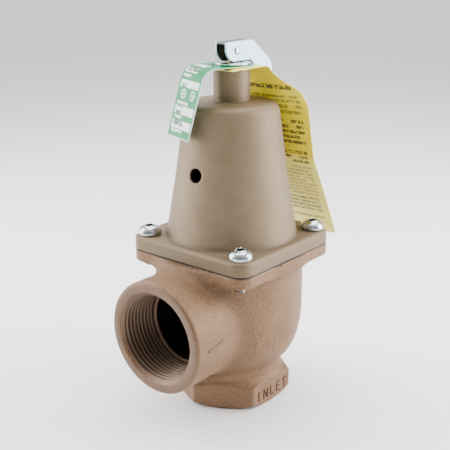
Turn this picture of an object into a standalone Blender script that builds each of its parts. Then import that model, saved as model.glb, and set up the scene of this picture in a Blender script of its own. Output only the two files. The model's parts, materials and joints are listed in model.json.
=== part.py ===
"""Pressure relief valve for 1-1/4 in pipe: angle body, bell bonnet, spring, diaphragm and test lever.

Every shape is built round the stem's axis and hangs from one empty, AXIS. The inlet face is z = 0, the
outlet points along -Y and the lever's tail along +Y. The scene's origin is the middle of the valve's
bounding box at the level of the inlet face. Blender 4.5, metres, +Z up.
"""

import math

import bmesh
import bpy
import numpy as np
from mathutils import Matrix, Vector

MM = 0.001
STEPS = 40              # facets round a large turned shape
SMALL_STEPS = 20        # facets round a small one
CLEAR = 0.05 * MM       # air between two flat faces that rest on each other
OVER = 1.0 * MM         # how far a cutter stands past the face it opens

# Joint between body and bonnet
FLANGE_SIZE = 69.7 * MM
FLANGE_CORNER = 7.2 * MM
JOINT_HEIGHT = 75.7 * MM
DIAPHRAGM_THICKNESS = 0.6 * MM
DIAPHRAGM_RECESS = 0.3 * MM
BODY_FLANGE_BOTTOM = 69.9 * MM
BONNET_FLANGE_TOP = 82.5 * MM
SCREW_SPACING = 55.5 * MM
SCREW_RADIUS = 3.0 * MM
SCREW_HOLE_RADIUS = 3.3 * MM

# Body: inlet, bulb and outlet
HEX_ACROSS_FLATS = 50.8 * MM
HEX_HEIGHT = 12.9 * MM
NECK_RADIUS = 24.6 * MM
BULB_RADIUS = 34.5 * MM
BULB_MIDDLE = 47.5 * MM
BULB_DEPTH = 26.3 * MM
BULB_TUCK = 10.5 * MM
THREAD_MOUTH_RADIUS = 21.8 * MM
THREAD_RADIUS = 19.5 * MM
INLET_THREAD_DEPTH = 18.0 * MM
OUTLET_THREAD_DEPTH = 20.0 * MM
OUTLET_HEIGHT = 45.6 * MM
OUTLET_REACH = 55.4 * MM
OUTLET_RADIUS = 26.7 * MM
CHAMBER_RADIUS = 29.8 * MM
CHAMBER_MOUTH_RADIUS = 28.0 * MM
CHAMBER_FLOOR = 27.5 * MM
NOZZLE_BORE = 13.0 * MM
NOZZLE_WALL = 3.5 * MM
SEAT_LIP_RADIUS = 14.6 * MM
SEAT_HEIGHT = 55.5 * MM

# Bonnet
BELL_FOOT_RADIUS = 31.3 * MM
BELL_WAIST = (26.3 * MM, 112.5 * MM)
BELL_SHOULDER_RADIUS = 22.0 * MM
BELL_TOP = 146.3 * MM
BELL_WALL = 3.2 * MM
BONNET_NECK_RADIUS = 8.5 * MM
BONNET_NECK_TOP = 161.5 * MM
BONNET_BORE = 5.5 * MM
VENT_RADIUS = 3.25 * MM
VENT_HEIGHT = 115.2 * MM

# Stem and what it carries
STEM_RADIUS = 2.1 * MM
STEM_THREAD_RADIUS = 3.1 * MM
STEM_LIFT = 2.8 * MM
PIN_HEIGHT = 168.8 * MM
PIN_RADIUS = 1.2 * MM
STEM_TOP = PIN_HEIGHT + 2.3 * MM
SEAT_DISC_THICKNESS = 3.0 * MM
SEAT_DISC_RADIUS = 15.0 * MM
HOLDER_RADIUS = 18.0 * MM
CLAMP_RADIUS = 20.0 * MM
SPRING_WIRE = 4.0 * MM
SPRING_MEAN_RADIUS = 14.0 * MM
SPRING_BOTTOM = 76.7 * MM
SPRING_TOP = 129.5 * MM

# Lever, a pressed channel whose cheeks are cams
LEVER_WIDTH = 6.6 * MM
LEVER_SHEET = 1.0 * MM
LEVER_TOP = 173.0 * MM
LEVER_NOSE = -7.8 * MM
LEVER_BACK = 27.2 * MM
LEVER_TAIL_END = 142.5 * MM
LEVER_TRAVEL = math.radians(75)
CAM_REST = 5.0 * MM
CAM_RISE = 2.0 * MM     # stem lift for each radian of lever

# Washer and tags, stacked on the bonnet's neck
TAG_THICKNESS = 0.4 * MM
WASHER_RADIUS = 8.8 * MM
WASHER_THICKNESS = 1.1 * MM
TAG_HOLE_RADIUS = 3.0 * MM
CAUTION_WIDTH = 51.0 * MM
CAUTION_EYE_WIDTH = 25.0 * MM
RATING_WIDTH = 20.5 * MM
RATING_TURN = math.radians(160)

CAUTION_LEVEL = BONNET_NECK_TOP + 2 * CLEAR + TAG_THICKNESS / 2
RATING_LEVEL = CAUTION_LEVEL + TAG_THICKNESS + 2 * CLEAR
WASHER_BOTTOM = RATING_LEVEL + TAG_THICKNESS / 2 + 2 * CLEAR

# Route of each tag's middle line: distance out from the stem, height, and the bend's radius there
CAUTION_ROUTE = [
    (-10.5 * MM, CAUTION_LEVEL - 0.8 * MM, 0.0),
    (-8.0 * MM, CAUTION_LEVEL, 4.0 * MM),
    (10.5 * MM, CAUTION_LEVEL, 3.0 * MM),
    (16.0 * MM, 151.9 * MM, 4.0 * MM),
    (22.6 * MM, 142.9 * MM, 12.0 * MM),
    (30.2 * MM, 116.5 * MM, 6.0 * MM),
    (54.2 * MM, 72.3 * MM, 0.0),
]
RATING_ROUTE = [
    (-10.0 * MM, RATING_LEVEL, 0.0),
    (19.3 * MM, RATING_LEVEL, 7.6 * MM),
    (27.7 * MM, 131.1 * MM, 0.0),
]


def tag_reach(route):
    """How far the outer corner of a tag's hanging edge lies from the stem's axis."""
    (y0, z0, _), (y1, z1, _) = route[-2:]
    slope = math.atan2(y1 - y0, z0 - z1)
    return y1 + TAG_THICKNESS / 2 * math.cos(slope)


AXIS_Y = (OUTLET_REACH - tag_reach(CAUTION_ROUTE)) / 2

COLOURS = {             # name: colour, metallic, roughness
    "cast_bronze": ((0.33, 0.24, 0.17), 0.7, 0.55),
    "cast_bonnet": ((0.30, 0.25, 0.21), 0.6, 0.6),
    "machined_bronze": ((0.60, 0.42, 0.24), 1.0, 0.3),
    "bright_steel": ((0.72, 0.74, 0.76), 1.0, 0.2),
    "spring_steel": ((0.36, 0.37, 0.38), 1.0, 0.35),
    "black_rubber": ((0.02, 0.02, 0.02), 0.0, 0.7),
    "green_tag": ((0.07, 0.48, 0.26), 0.0, 0.4),
    "yellow_tag": ((0.87, 0.72, 0.09), 0.0, 0.5),
}


# ---------------------------------------------------------------- scene and materials

def clear_scene():
    for obj in list(bpy.data.objects):
        bpy.data.objects.remove(obj, do_unlink=True)


def new_collection(name):
    collection = bpy.data.collections.new(name)
    bpy.context.scene.collection.children.link(collection)
    return collection


def material(name):
    """The Principled material called name, made from COLOURS when it is first asked for."""
    found = bpy.data.materials.get(name)
    if found:
        return found
    colour, metallic, roughness = COLOURS[name]
    made = bpy.data.materials.new(name)
    made.use_nodes = True
    made.diffuse_color = (*colour, 1.0)
    shader = made.node_tree.nodes["Principled BSDF"]
    shader.inputs["Base Color"].default_value = (*colour, 1.0)
    shader.inputs["Metallic"].default_value = metallic
    shader.inputs["Roughness"].default_value = roughness
    return made


clear_scene()
PARTS = new_collection("pressure_relief_valve")
CUTTERS = new_collection("cutters")
AXIS = bpy.data.objects.new("valve_axis", None)
AXIS.location = (0.0, AXIS_Y, 0.0)
PARTS.objects.link(AXIS)


def add_object(name, mesh, collection=CUTTERS):
    """An object under AXIS. In CUTTERS it is a guide: not rendered and drawn as wire."""
    obj = bpy.data.objects.new(name, mesh)
    collection.objects.link(obj)
    obj.parent = AXIS
    if collection is CUTTERS:
        obj.hide_render = True
        obj.display_type = "WIRE"
    return obj


# ---------------------------------------------------------------- shapes

def rounded(corners, per_turn=24):
    """Points along a line of (a, b, radius) corners, with an arc at each corner that has a radius."""
    points = []
    for index, (a, b, radius) in enumerate(corners):
        here = Vector((a, b))
        if radius == 0 or index in (0, len(corners) - 1):
            points.append(here)
            continue
        before = (Vector(corners[index - 1][:2]) - here).normalized()
        after = (Vector(corners[index + 1][:2]) - here).normalized()
        half = before.angle(after) / 2
        centre = here + (before + after).normalized() * radius / math.sin(half)
        start = here + before * radius / math.tan(half) - centre
        sweep = start.angle_signed(here + after * radius / math.tan(half) - centre)
        pieces = max(2, round(abs(sweep) / math.tau * per_turn))
        for step in range(pieces + 1):
            points.append(centre + Matrix.Rotation(-sweep * step / pieces, 2) @ start)
    return [(point.x, point.y) for point in points]


def turned(name, profile, collection=CUTTERS, steps=STEPS, ring=False):
    """A solid of revolution about Z from (radius, height) points that run down its outer side."""
    count = len(profile)
    edges = [(i, i + 1) for i in range(count - 1)] + ([(count - 1, 0)] if ring else [])
    mesh = bpy.data.meshes.new(name)
    mesh.from_pydata([(r, 0.0, z) for r, z in profile], edges, [])
    obj = add_object(name, mesh, collection)
    screw = obj.modifiers.new("Turn", "SCREW")
    screw.steps = screw.render_steps = steps
    screw.use_merge_vertices = True
    screw.merge_threshold = 0.00001
    return obj


def rod(name, radius, low, high, collection=CUTTERS, steps=SMALL_STEPS):
    """A plain round bar on the Z axis."""
    return turned(name, [(0, high), (radius, high), (radius, low), (0, low)], collection, steps)


def lay_along_y(obj, height, turn=0.0):
    """Point a shape's own +Z along -Y at a height, then turn it about the valve's axis."""
    obj.matrix_local = (Matrix.Rotation(turn, 4, "Z") @ Matrix.Translation((0, 0, height))
                        @ Matrix.Rotation(math.pi / 2, 4, "X"))
    return obj


def slab(name, size, corner, low, high, edge=0.0, collection=CUTTERS):
    """A square plate with rounded corners, its top edge rounded by edge."""
    bm = bmesh.new()
    bmesh.ops.create_cube(bm, size=1.0)
    bmesh.ops.scale(bm, vec=(size, size, high - low), verts=bm.verts)
    bmesh.ops.translate(bm, vec=(0, 0, (low + high) / 2), verts=bm.verts)
    upright = [e for e in bm.edges if abs(e.verts[0].co.z - e.verts[1].co.z) > (high - low) / 2]
    bmesh.ops.bevel(bm, geom=upright, offset=corner, segments=8, profile=0.5, affect="EDGES")
    if edge:
        rim = [e for e in bm.edges if all(abs(v.co.z - high) < CLEAR for v in e.verts)]
        bmesh.ops.bevel(bm, geom=rim, offset=edge, segments=4, profile=0.5, affect="EDGES")
    mesh = bpy.data.meshes.new(name)
    bm.to_mesh(mesh)
    bm.free()
    return add_object(name, mesh, collection)


def prism(name, outline, low, high, collection=CUTTERS):
    """A flat outline in X and Y, raised from low to high. The filled curve is turned into a mesh."""
    curve = bpy.data.curves.new(name, "CURVE")
    curve.dimensions = "2D"
    curve.fill_mode = "BOTH"
    curve.extrude = (high - low) / 2
    spline = curve.splines.new("POLY")
    spline.points.add(len(outline) - 1)
    for point, (x, y) in zip(spline.points, outline):
        point.co = (x, y, 0.0, 1.0)
    spline.use_cyclic_u = True
    mesh = mesh_from(add_object(name + "_curve", curve))
    mesh.transform(Matrix.Translation((0, 0, (low + high) / 2)))
    return add_object(name, mesh, collection)


def mesh_from(source):
    """The welded mesh of a curve object, in the curve's own space. The curve is removed."""
    bpy.context.view_layer.update()
    evaluated = source.evaluated_get(bpy.context.evaluated_depsgraph_get())
    mesh = bpy.data.meshes.new_from_object(evaluated)
    bm = bmesh.new()
    bm.from_mesh(mesh)
    bmesh.ops.remove_doubles(bm, verts=bm.verts, dist=0.00001)
    bmesh.ops.recalc_face_normals(bm, faces=bm.faces)
    bm.to_mesh(mesh)
    bm.free()
    bpy.data.objects.remove(source)
    return mesh


def regular(count, radius, start=0.0):
    """The corners of a regular polygon."""
    angles = [start + math.tau * i / count for i in range(count)]
    return [(radius * math.cos(a), radius * math.sin(a)) for a in angles]


def combine(obj, tools, operation="DIFFERENCE"):
    for tool in tools:
        boolean = obj.modifiers.new(tool.name, "BOOLEAN")
        boolean.operation = operation
        boolean.solver = "EXACT"
        boolean.object = tool


def finish(obj, material_name, pivot=(0.0, 0.0, 0.0)):
    """Apply the modifiers, put the origin on the pivot, and shade smooth up to 35 degrees."""
    bpy.context.view_layer.update()
    evaluated = obj.evaluated_get(bpy.context.evaluated_depsgraph_get())
    mesh = bpy.data.meshes.new_from_object(evaluated)
    obj.modifiers.clear()
    mesh.transform(Matrix.Translation(-Vector(pivot)) @ obj.matrix_local)
    obj.data = mesh
    obj.matrix_local = Matrix.Translation(pivot)
    mesh.materials.clear()
    mesh.materials.append(material(material_name))
    mesh.shade_smooth()
    mesh.set_sharp_from_angle(angle=math.radians(35))
    return obj


# ---------------------------------------------------------------- body and bonnet

def screw_places():
    half = SCREW_SPACING / 2
    return [(-half, -half), (half, -half), (half, half), (-half, half)]


def screw_holes(name, low, high):
    holes = []
    for number, (x, y) in enumerate(screw_places(), 1):
        hole = rod(f"{name}_{number}", SCREW_HOLE_RADIUS, low, high)
        hole.location = (x, y, 0.0)
        holes.append(hole)
    return holes


def bulb_profile():
    """Half an egg under a straight wall, running into the round neck above the inlet hexagon."""
    rows = [(0, BODY_FLANGE_BOTTOM + 2 * MM), (BULB_RADIUS, BODY_FLANGE_BOTTOM + 2 * MM)]
    for angle in np.radians(np.linspace(0, 75, 8)):
        rows.append((BULB_RADIUS - BULB_TUCK * (1 - math.cos(angle)),
                     BULB_MIDDLE - BULB_DEPTH * math.sin(angle)))
    neck_fillet = 3.0 * MM
    last_height = rows[-1][1]
    rows += [(NECK_RADIUS + 0.8 * MM, last_height - neck_fillet / 2),
             (NECK_RADIUS, last_height - neck_fillet),
             (NECK_RADIUS - 1.0 * MM, HEX_HEIGHT / 2), (0, HEX_HEIGHT / 2)]
    return rows


def inlet_hexagon():
    """The wrench flats of the inlet, two of them facing +X and -X, their corners turned off at both ends."""
    flat, corner = HEX_ACROSS_FLATS / 2, HEX_ACROSS_FLATS / math.sqrt(3)
    hexagon = prism("inlet_hexagon", regular(6, corner, math.pi / 6), 0.0, HEX_HEIGHT + OVER)
    corner_cones = turned("hexagon_chamfer", [
        (0, HEX_HEIGHT), (NECK_RADIUS, HEX_HEIGHT), (corner + OVER, HEX_HEIGHT - 2.2 * MM),
        (corner + OVER, 2.6 * MM), (flat + 0.6 * MM, 0.0), (0, 0.0)])
    combine(hexagon, [corner_cones], "INTERSECT")
    return hexagon


def outlet_boss():
    rim = 1.0 * MM
    profile = [(0, OUTLET_REACH), (OUTLET_RADIUS - rim, OUTLET_REACH), (OUTLET_RADIUS, OUTLET_REACH - rim),
               (OUTLET_RADIUS, OUTLET_REACH - 12 * MM), (OUTLET_RADIUS - 0.7 * MM, 22 * MM), (0, 22 * MM)]
    return lay_along_y(turned("outlet_boss", profile), OUTLET_HEIGHT)


def inlet_passage():
    """Threaded socket, cone and nozzle bore, open at the inlet face and above the seat."""
    return turned("inlet_passage", [
        (0, SEAT_HEIGHT + OVER), (NOZZLE_BORE, SEAT_HEIGHT + OVER),
        (NOZZLE_BORE, INLET_THREAD_DEPTH + 5 * MM), (THREAD_RADIUS, INLET_THREAD_DEPTH),
        (THREAD_RADIUS, 2.2 * MM), (THREAD_MOUTH_RADIUS + OVER, -OVER), (0, -OVER)])


def outlet_passage():
    reach_in = 20.0 * MM
    profile = [(0, OUTLET_REACH + OVER), (THREAD_MOUTH_RADIUS + OVER, OUTLET_REACH + OVER),
               (THREAD_RADIUS, OUTLET_REACH - 2.2 * MM), (THREAD_RADIUS, OUTLET_REACH - OUTLET_THREAD_DEPTH),
               (THREAD_RADIUS - 1.2 * MM, OUTLET_REACH - OUTLET_THREAD_DEPTH - 1.5 * MM),
               (THREAD_RADIUS - 1.2 * MM, reach_in), (0, reach_in)]
    return lay_along_y(turned("outlet_passage", profile), OUTLET_HEIGHT)


def chamber():
    """The ring-shaped room round the nozzle, open at the top."""
    nozzle = NOZZLE_BORE + NOZZLE_WALL
    return turned("chamber", [
        (0, JOINT_HEIGHT + OVER), (CHAMBER_MOUTH_RADIUS, JOINT_HEIGHT + OVER),
        (CHAMBER_MOUTH_RADIUS, BODY_FLANGE_BOTTOM - 2 * MM), (CHAMBER_RADIUS, BODY_FLANGE_BOTTOM - 6 * MM),
        (CHAMBER_RADIUS, BULB_MIDDLE - 6 * MM), (CHAMBER_RADIUS - 1.6 * MM, BULB_MIDDLE - 13 * MM),
        (CHAMBER_RADIUS - 5 * MM, CHAMBER_FLOOR + 1.5 * MM), (CHAMBER_RADIUS - 8 * MM, CHAMBER_FLOOR),
        (nozzle + 2 * MM, CHAMBER_FLOOR), (nozzle, CHAMBER_FLOOR + 2 * MM),
        (nozzle, SEAT_HEIGHT - 4 * MM), (SEAT_LIP_RADIUS, SEAT_HEIGHT), (0, SEAT_HEIGHT)])


def make_body():
    body = turned("valve_body", bulb_profile(), PARTS)
    flange = slab("body_flange", FLANGE_SIZE, FLANGE_CORNER, BODY_FLANGE_BOTTOM,
                  JOINT_HEIGHT - DIAPHRAGM_THICKNESS / 2 - CLEAR)
    combine(body, [flange, inlet_hexagon(), outlet_boss()], "UNION")
    combine(body, [chamber(), inlet_passage(), outlet_passage()])
    combine(body, screw_holes("body_hole", BODY_FLANGE_BOTTOM - OVER, JOINT_HEIGHT + OVER))
    finish(body, "cast_bronze")


def bell_outline():
    """The bonnet's outside, from the top of its neck to inside its flange."""
    return rounded([
        (0, BONNET_NECK_TOP, 0), (BONNET_NECK_RADIUS, BONNET_NECK_TOP, 0.5 * MM),
        (BONNET_NECK_RADIUS, BELL_TOP, 1.5 * MM),
        (BELL_SHOULDER_RADIUS - 0.3 * MM, BELL_TOP - 0.8 * MM, 4.5 * MM), (*BELL_WAIST, 90 * MM),
        (BELL_FOOT_RADIUS, BONNET_FLANGE_TOP, 1.5 * MM),
        (BELL_FOOT_RADIUS + 2 * MM, BONNET_FLANGE_TOP - 0.5 * MM, 0),
        (BELL_FOOT_RADIUS + 2 * MM, BONNET_FLANGE_TOP - 3 * MM, 0), (0, BONNET_FLANGE_TOP - 3 * MM, 0)])


def bell_hollow():
    """The spring's room and the bore for the adjusting screw."""
    ceiling = BELL_TOP - BELL_WALL
    return turned("bell_hollow", [
        (0, BONNET_NECK_TOP + OVER), (BONNET_BORE, BONNET_NECK_TOP + OVER), (BONNET_BORE, ceiling),
        (BELL_SHOULDER_RADIUS - 2 * BELL_WALL, ceiling), (BELL_SHOULDER_RADIUS - BELL_WALL, ceiling - 3 * MM),
        (BELL_WAIST[0] - BELL_WALL, BELL_WAIST[1]), (CHAMBER_MOUTH_RADIUS, BONNET_FLANGE_TOP),
        (CHAMBER_MOUTH_RADIUS, JOINT_HEIGHT - OVER), (0, JOINT_HEIGHT - OVER)])


def make_bonnet():
    bonnet = turned("bonnet", bell_outline(), PARTS)
    flange = slab("bonnet_flange", FLANGE_SIZE, FLANGE_CORNER,
                  JOINT_HEIGHT + DIAPHRAGM_THICKNESS / 2 + CLEAR, BONNET_FLANGE_TOP, edge=1.8 * MM)
    vent = lay_along_y(rod("vent", VENT_RADIUS, 15 * MM, 35 * MM), VENT_HEIGHT)
    combine(bonnet, [flange], "UNION")
    combine(bonnet, [bell_hollow(), vent])
    combine(bonnet, screw_holes("bonnet_hole", JOINT_HEIGHT - OVER, BONNET_FLANGE_TOP + OVER))
    finish(bonnet, "cast_bonnet")


def make_diaphragm():
    """A square sheet clamped between the flanges. Its middle is dished down by the stem's lift."""
    half = DIAPHRAGM_THICKNESS / 2
    level, dished = JOINT_HEIGHT, JOINT_HEIGHT - STEM_LIFT
    hole, flat, rim = STEM_THREAD_RADIUS + 0.3 * MM, CLAMP_RADIUS + 1 * MM, CHAMBER_MOUTH_RADIUS - 2 * MM
    diaphragm = turned("diaphragm", [
        (hole, dished + half), (flat, dished + half), (rim, level + half), (FLANGE_SIZE, level + half),
        (FLANGE_SIZE, level - half), (rim, level - half), (flat, dished - half), (hole, dished - half),
    ], PARTS, ring=True)
    outline = slab("diaphragm_outline", FLANGE_SIZE - 2 * DIAPHRAGM_RECESS,
                   FLANGE_CORNER - DIAPHRAGM_RECESS, 65 * MM, 90 * MM)
    combine(diaphragm, [outline], "INTERSECT")
    combine(diaphragm, screw_holes("diaphragm_hole", 65 * MM, 90 * MM))
    finish(diaphragm, "black_rubber")


def lobed_recess():
    """A six-lobed drive socket's outline."""
    count, middle, lobe = 24, 1.95 * MM, 0.33 * MM
    angles = [math.tau * i / count for i in range(count)]
    return [((middle + lobe * math.cos(6 * a)) * math.cos(a), (middle + lobe * math.cos(6 * a)) * math.sin(a))
            for a in angles]


def make_flange_screws():
    """Four dome-headed screws through the bonnet's flange, their ends just through the body's."""
    seat = BONNET_FLANGE_TOP + CLEAR
    tip = BODY_FLANGE_BOTTOM - 2.7 * MM
    profile = rounded([
        (0, seat + 4.7 * MM, 0), (3.4 * MM, seat + 4.5 * MM, 2.2 * MM),
        (5.55 * MM, seat + 1.2 * MM, 1.4 * MM), (5.55 * MM, seat, 0), (SCREW_RADIUS, seat, 0),
        (SCREW_RADIUS, tip + 0.7 * MM, 0), (SCREW_RADIUS - 0.7 * MM, tip, 0), (0, tip, 0)])
    for number, (x, y) in enumerate(screw_places(), 1):
        screw = turned(f"flange_screw_{number}", profile, PARTS, SMALL_STEPS)
        socket = prism(f"drive_socket_{number}", lobed_recess(), seat + 2.2 * MM, seat + 6 * MM)
        combine(screw, [socket])
        finish(screw, "bright_steel")
        screw.location = (x, y, 0.0)


# ---------------------------------------------------------------- disc, stem and spring

DISC_TOP = SEAT_HEIGHT + CLEAR + SEAT_DISC_THICKNESS
CLAMP_LEVEL = JOINT_HEIGHT - STEM_LIFT - DIAPHRAGM_THICKNESS / 2 - CLEAR
PLATE_BOTTOM = CLAMP_LEVEL + DIAPHRAGM_THICKNESS + 2 * CLEAR
PLATE_HUB_TOP = SPRING_BOTTOM + 2.0 * MM


def make_disc_holder():
    """A cup for the seat disc below, a stub, and the lower clamp plate of the diaphragm on top."""
    cup = SEAT_DISC_RADIUS + 0.3 * MM
    screw_bore, stem_bore = 2.9 * MM, STEM_THREAD_RADIUS + 0.3 * MM
    holder = turned("disc_holder", [
        (stem_bore, CLAMP_LEVEL), (CLAMP_RADIUS, CLAMP_LEVEL), (CLAMP_RADIUS, CLAMP_LEVEL - 1.8 * MM),
        (9 * MM, CLAMP_LEVEL - 3 * MM), (8 * MM, DISC_TOP + 4.5 * MM),
        (HOLDER_RADIUS - 1 * MM, DISC_TOP + 3 * MM), (HOLDER_RADIUS, DISC_TOP + 2 * MM),
        (HOLDER_RADIUS, SEAT_HEIGHT + 1.2 * MM),
        (cup, SEAT_HEIGHT + 1.2 * MM), (cup, DISC_TOP + CLEAR), (screw_bore, DISC_TOP + CLEAR),
        (screw_bore, DISC_TOP + 6 * MM), (stem_bore, DISC_TOP + 7 * MM)], PARTS, ring=True)
    finish(holder, "machined_bronze")


def make_seat_disc():
    disc = turned("seat_disc", [
        (2.9 * MM, DISC_TOP), (SEAT_DISC_RADIUS, DISC_TOP), (SEAT_DISC_RADIUS, SEAT_HEIGHT + CLEAR),
        (2.9 * MM, SEAT_HEIGHT + CLEAR)], PARTS, SMALL_STEPS, ring=True)
    finish(disc, "black_rubber")


def make_disc_washer():
    top = SEAT_HEIGHT
    washer = turned("disc_washer", [
        (2.9 * MM, top), (8 * MM, top), (8 * MM, top - 1.5 * MM), (2.9 * MM, top - 1.5 * MM)],
        PARTS, SMALL_STEPS, ring=True)
    finish(washer, "machined_bronze")


def make_disc_screw():
    """A slotted pan-head screw that holds the seat disc in its cup."""
    seat = SEAT_HEIGHT - 1.5 * MM - CLEAR
    screw = turned("disc_screw", rounded([
        (0, DISC_TOP + 5 * MM, 0), (2.6 * MM, DISC_TOP + 5 * MM, 0), (2.6 * MM, seat, 0), (5 * MM, seat, 0),
        (5 * MM, seat - 3 * MM, 1.2 * MM), (0, seat - 3.2 * MM, 0)]), PARTS, SMALL_STEPS)
    slot = prism("disc_screw_slot", [(-6 * MM, -0.6 * MM), (6 * MM, -0.6 * MM), (6 * MM, 0.6 * MM),
                                     (-6 * MM, 0.6 * MM)], seat - 5 * MM, seat - 2 * MM)
    combine(screw, [slot])
    finish(screw, "bright_steel")


def make_pressure_plate():
    """The upper clamp plate. The spring stands round its hub."""
    bore = STEM_THREAD_RADIUS + 0.3 * MM
    hub = SPRING_MEAN_RADIUS - SPRING_WIRE / 2 - 0.6 * MM
    plate = turned("pressure_plate", [
        (bore, PLATE_HUB_TOP), (hub - 0.6 * MM, PLATE_HUB_TOP), (hub, PLATE_HUB_TOP - 0.6 * MM),
        (hub, SPRING_BOTTOM - CLEAR), (CLAMP_RADIUS, SPRING_BOTTOM - CLEAR), (CLAMP_RADIUS, PLATE_BOTTOM),
        (bore, PLATE_BOTTOM)], PARTS, ring=True)
    finish(plate, "spring_steel")


def make_stem_nut():
    low = PLATE_HUB_TOP + CLEAR
    nut = prism("stem_nut", regular(6, 6.35 * MM), low, low + 5 * MM, PARTS)
    combine(nut, [rod("stem_nut_bore", STEM_THREAD_RADIUS + 0.3 * MM, low - OVER, low + 6 * MM)])
    finish(nut, "bright_steel")


def make_stem():
    """The pull rod: screwed into the disc holder, and cross-drilled for the lever's pin."""
    shoulder = PLATE_HUB_TOP + 7 * MM
    stem = turned("stem", [
        (0, STEM_TOP), (STEM_RADIUS - 0.6 * MM, STEM_TOP), (STEM_RADIUS, STEM_TOP - 0.6 * MM),
        (STEM_RADIUS, shoulder + 1 * MM), (STEM_THREAD_RADIUS, shoulder),
        (STEM_THREAD_RADIUS, DISC_TOP + 8 * MM), (0, DISC_TOP + 8 * MM)], PARTS, SMALL_STEPS)
    drilling = rod("pin_hole", PIN_RADIUS + 0.1 * MM, -5 * MM, 5 * MM)
    combine(stem, [lay_along_y(drilling, PIN_HEIGHT, math.pi / 2)])
    finish(stem, "machined_bronze")


def spring_points():
    """The wire's middle line: closed coils at both ends and an even pitch between them."""
    low, high = SPRING_BOTTOM + SPRING_WIRE / 2, SPRING_TOP - SPRING_WIRE / 2
    closed, active, per_turn = 0.9, 4.6, 18
    closed_pitch = SPRING_WIRE * 1.08
    pitch = (high - low - 2 * closed * closed_pitch) / active
    turns = 2 * closed + active
    points = []
    for step in range(round(turns * per_turn) + 1):
        turn = min(step / per_turn, turns)
        middle = min(max(turn - closed, 0.0), active)
        height = low + (turn - middle) * closed_pitch + middle * pitch
        angle = math.tau * turn
        points.append((SPRING_MEAN_RADIUS * math.cos(angle), SPRING_MEAN_RADIUS * math.sin(angle), height))
    return points


def make_spring():
    curve = bpy.data.curves.new("spring", "CURVE")
    curve.dimensions = "3D"
    curve.bevel_depth = SPRING_WIRE / 2
    curve.bevel_resolution = 2
    curve.use_fill_caps = True
    spline = curve.splines.new("POLY")
    points = spring_points()
    spline.points.add(len(points) - 1)
    for point, place in zip(spline.points, points):
        point.co = (*place, 1.0)
    mesh = mesh_from(add_object("spring_curve", curve))
    finish(add_object("spring", mesh, PARTS), "spring_steel")


def make_spring_button():
    """The upper spring seat, centred in the spring and pressed down by the adjusting screw."""
    low, high, bore = SPRING_TOP + CLEAR, SPRING_TOP + 4.5 * MM, STEM_RADIUS + 0.7 * MM
    hub = SPRING_MEAN_RADIUS - SPRING_WIRE / 2 - 0.6 * MM
    button = turned("spring_button", [
        (bore, high), (8 * MM, high), (17 * MM, high - 1.5 * MM), (17 * MM, low), (hub, low),
        (hub - 1 * MM, low - 4 * MM), (bore, low - 4 * MM)], PARTS, ring=True)
    finish(button, "spring_steel")


def make_adjusting_screw():
    """A hollow set screw in the bonnet's neck. The stem runs through it."""
    radius, bore = BONNET_BORE - 0.35 * MM, STEM_RADIUS + 0.6 * MM
    low, high = SPRING_TOP + 4.6 * MM, BONNET_NECK_TOP - 1.2 * MM
    screw = turned("adjusting_screw", [
        (bore, high), (radius - 0.5 * MM, high), (radius, high - 0.5 * MM), (radius, low + 0.8 * MM),
        (radius - 0.8 * MM, low), (bore, low)], PARTS, SMALL_STEPS, ring=True)
    slot = prism("adjusting_slot", [(-7 * MM, -0.8 * MM), (7 * MM, -0.8 * MM), (7 * MM, 0.8 * MM),
                                    (-7 * MM, 0.8 * MM)], high - 2.5 * MM, high + OVER)
    combine(screw, [slot])
    finish(screw, "machined_bronze")


# ---------------------------------------------------------------- lever, washer and tags

def cam_points():
    """The cheek's cam: lifting the tail raises the pin above the washer by CAM_RISE for each radian."""
    rest = CAM_REST - CLEAR
    points = []
    for angle in np.linspace(LEVER_TRAVEL, 0.0, 10):
        height = rest + CAM_RISE * angle
        points.append((-height * math.sin(angle) - CAM_RISE * math.cos(angle),
                       PIN_HEIGHT - height * math.cos(angle) + CAM_RISE * math.sin(angle)))
    return points


def lever_back(inset):
    """The lever's back from nose to tail, moved in by inset: level, sloping, then hanging."""
    top, back = LEVER_TOP - inset, LEVER_BACK - inset
    return rounded([
        (LEVER_NOSE, top, 0), (11.5 * MM - inset * 0.3, top, 5 * MM - inset),
        (back - 1.2 * MM, 161.9 * MM - inset * 0.3, 7 * MM - inset), (back, 154.0 * MM, 9 * MM - inset),
        (back, LEVER_TAIL_END, 0)])


def lever_profile():
    """The cheek's outline in Y and Z, from nose over the back to the tail and along the underside."""
    underside = [(24.0 * MM, LEVER_TAIL_END), (23.6 * MM, 145.5 * MM), (20.8 * MM, 152.0 * MM),
                 (15.8 * MM, 158.5 * MM), (10.0 * MM, PIN_HEIGHT - CAM_REST + CLEAR)]
    return lever_back(0.0) + underside + cam_points()[::-1]


def lever_hollow():
    """What is cut from between the cheeks. It is open below, at the nose and at the tail's end."""
    inner = [(y, z) for y, z in lever_back(LEVER_SHEET)]
    inner[0] = (LEVER_NOSE - 2 * MM, inner[0][1])
    inner[-1] = (inner[-1][0], LEVER_TAIL_END - 2 * MM)
    return inner + [(8.0 * MM, LEVER_TAIL_END - 2 * MM), (LEVER_NOSE - 2 * MM, 159.5 * MM)]


def upright_prism(name, outline, half_width, collection=CUTTERS):
    """A (y, z) outline raised along X, to half_width on each side of the valve's middle plane."""
    obj = prism(name, outline, -half_width, half_width, collection)
    obj.data.transform(Matrix(((0, 0, 1, 0), (1, 0, 0, 0), (0, 1, 0, 0), (0, 0, 0, 1))))
    return obj


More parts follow.
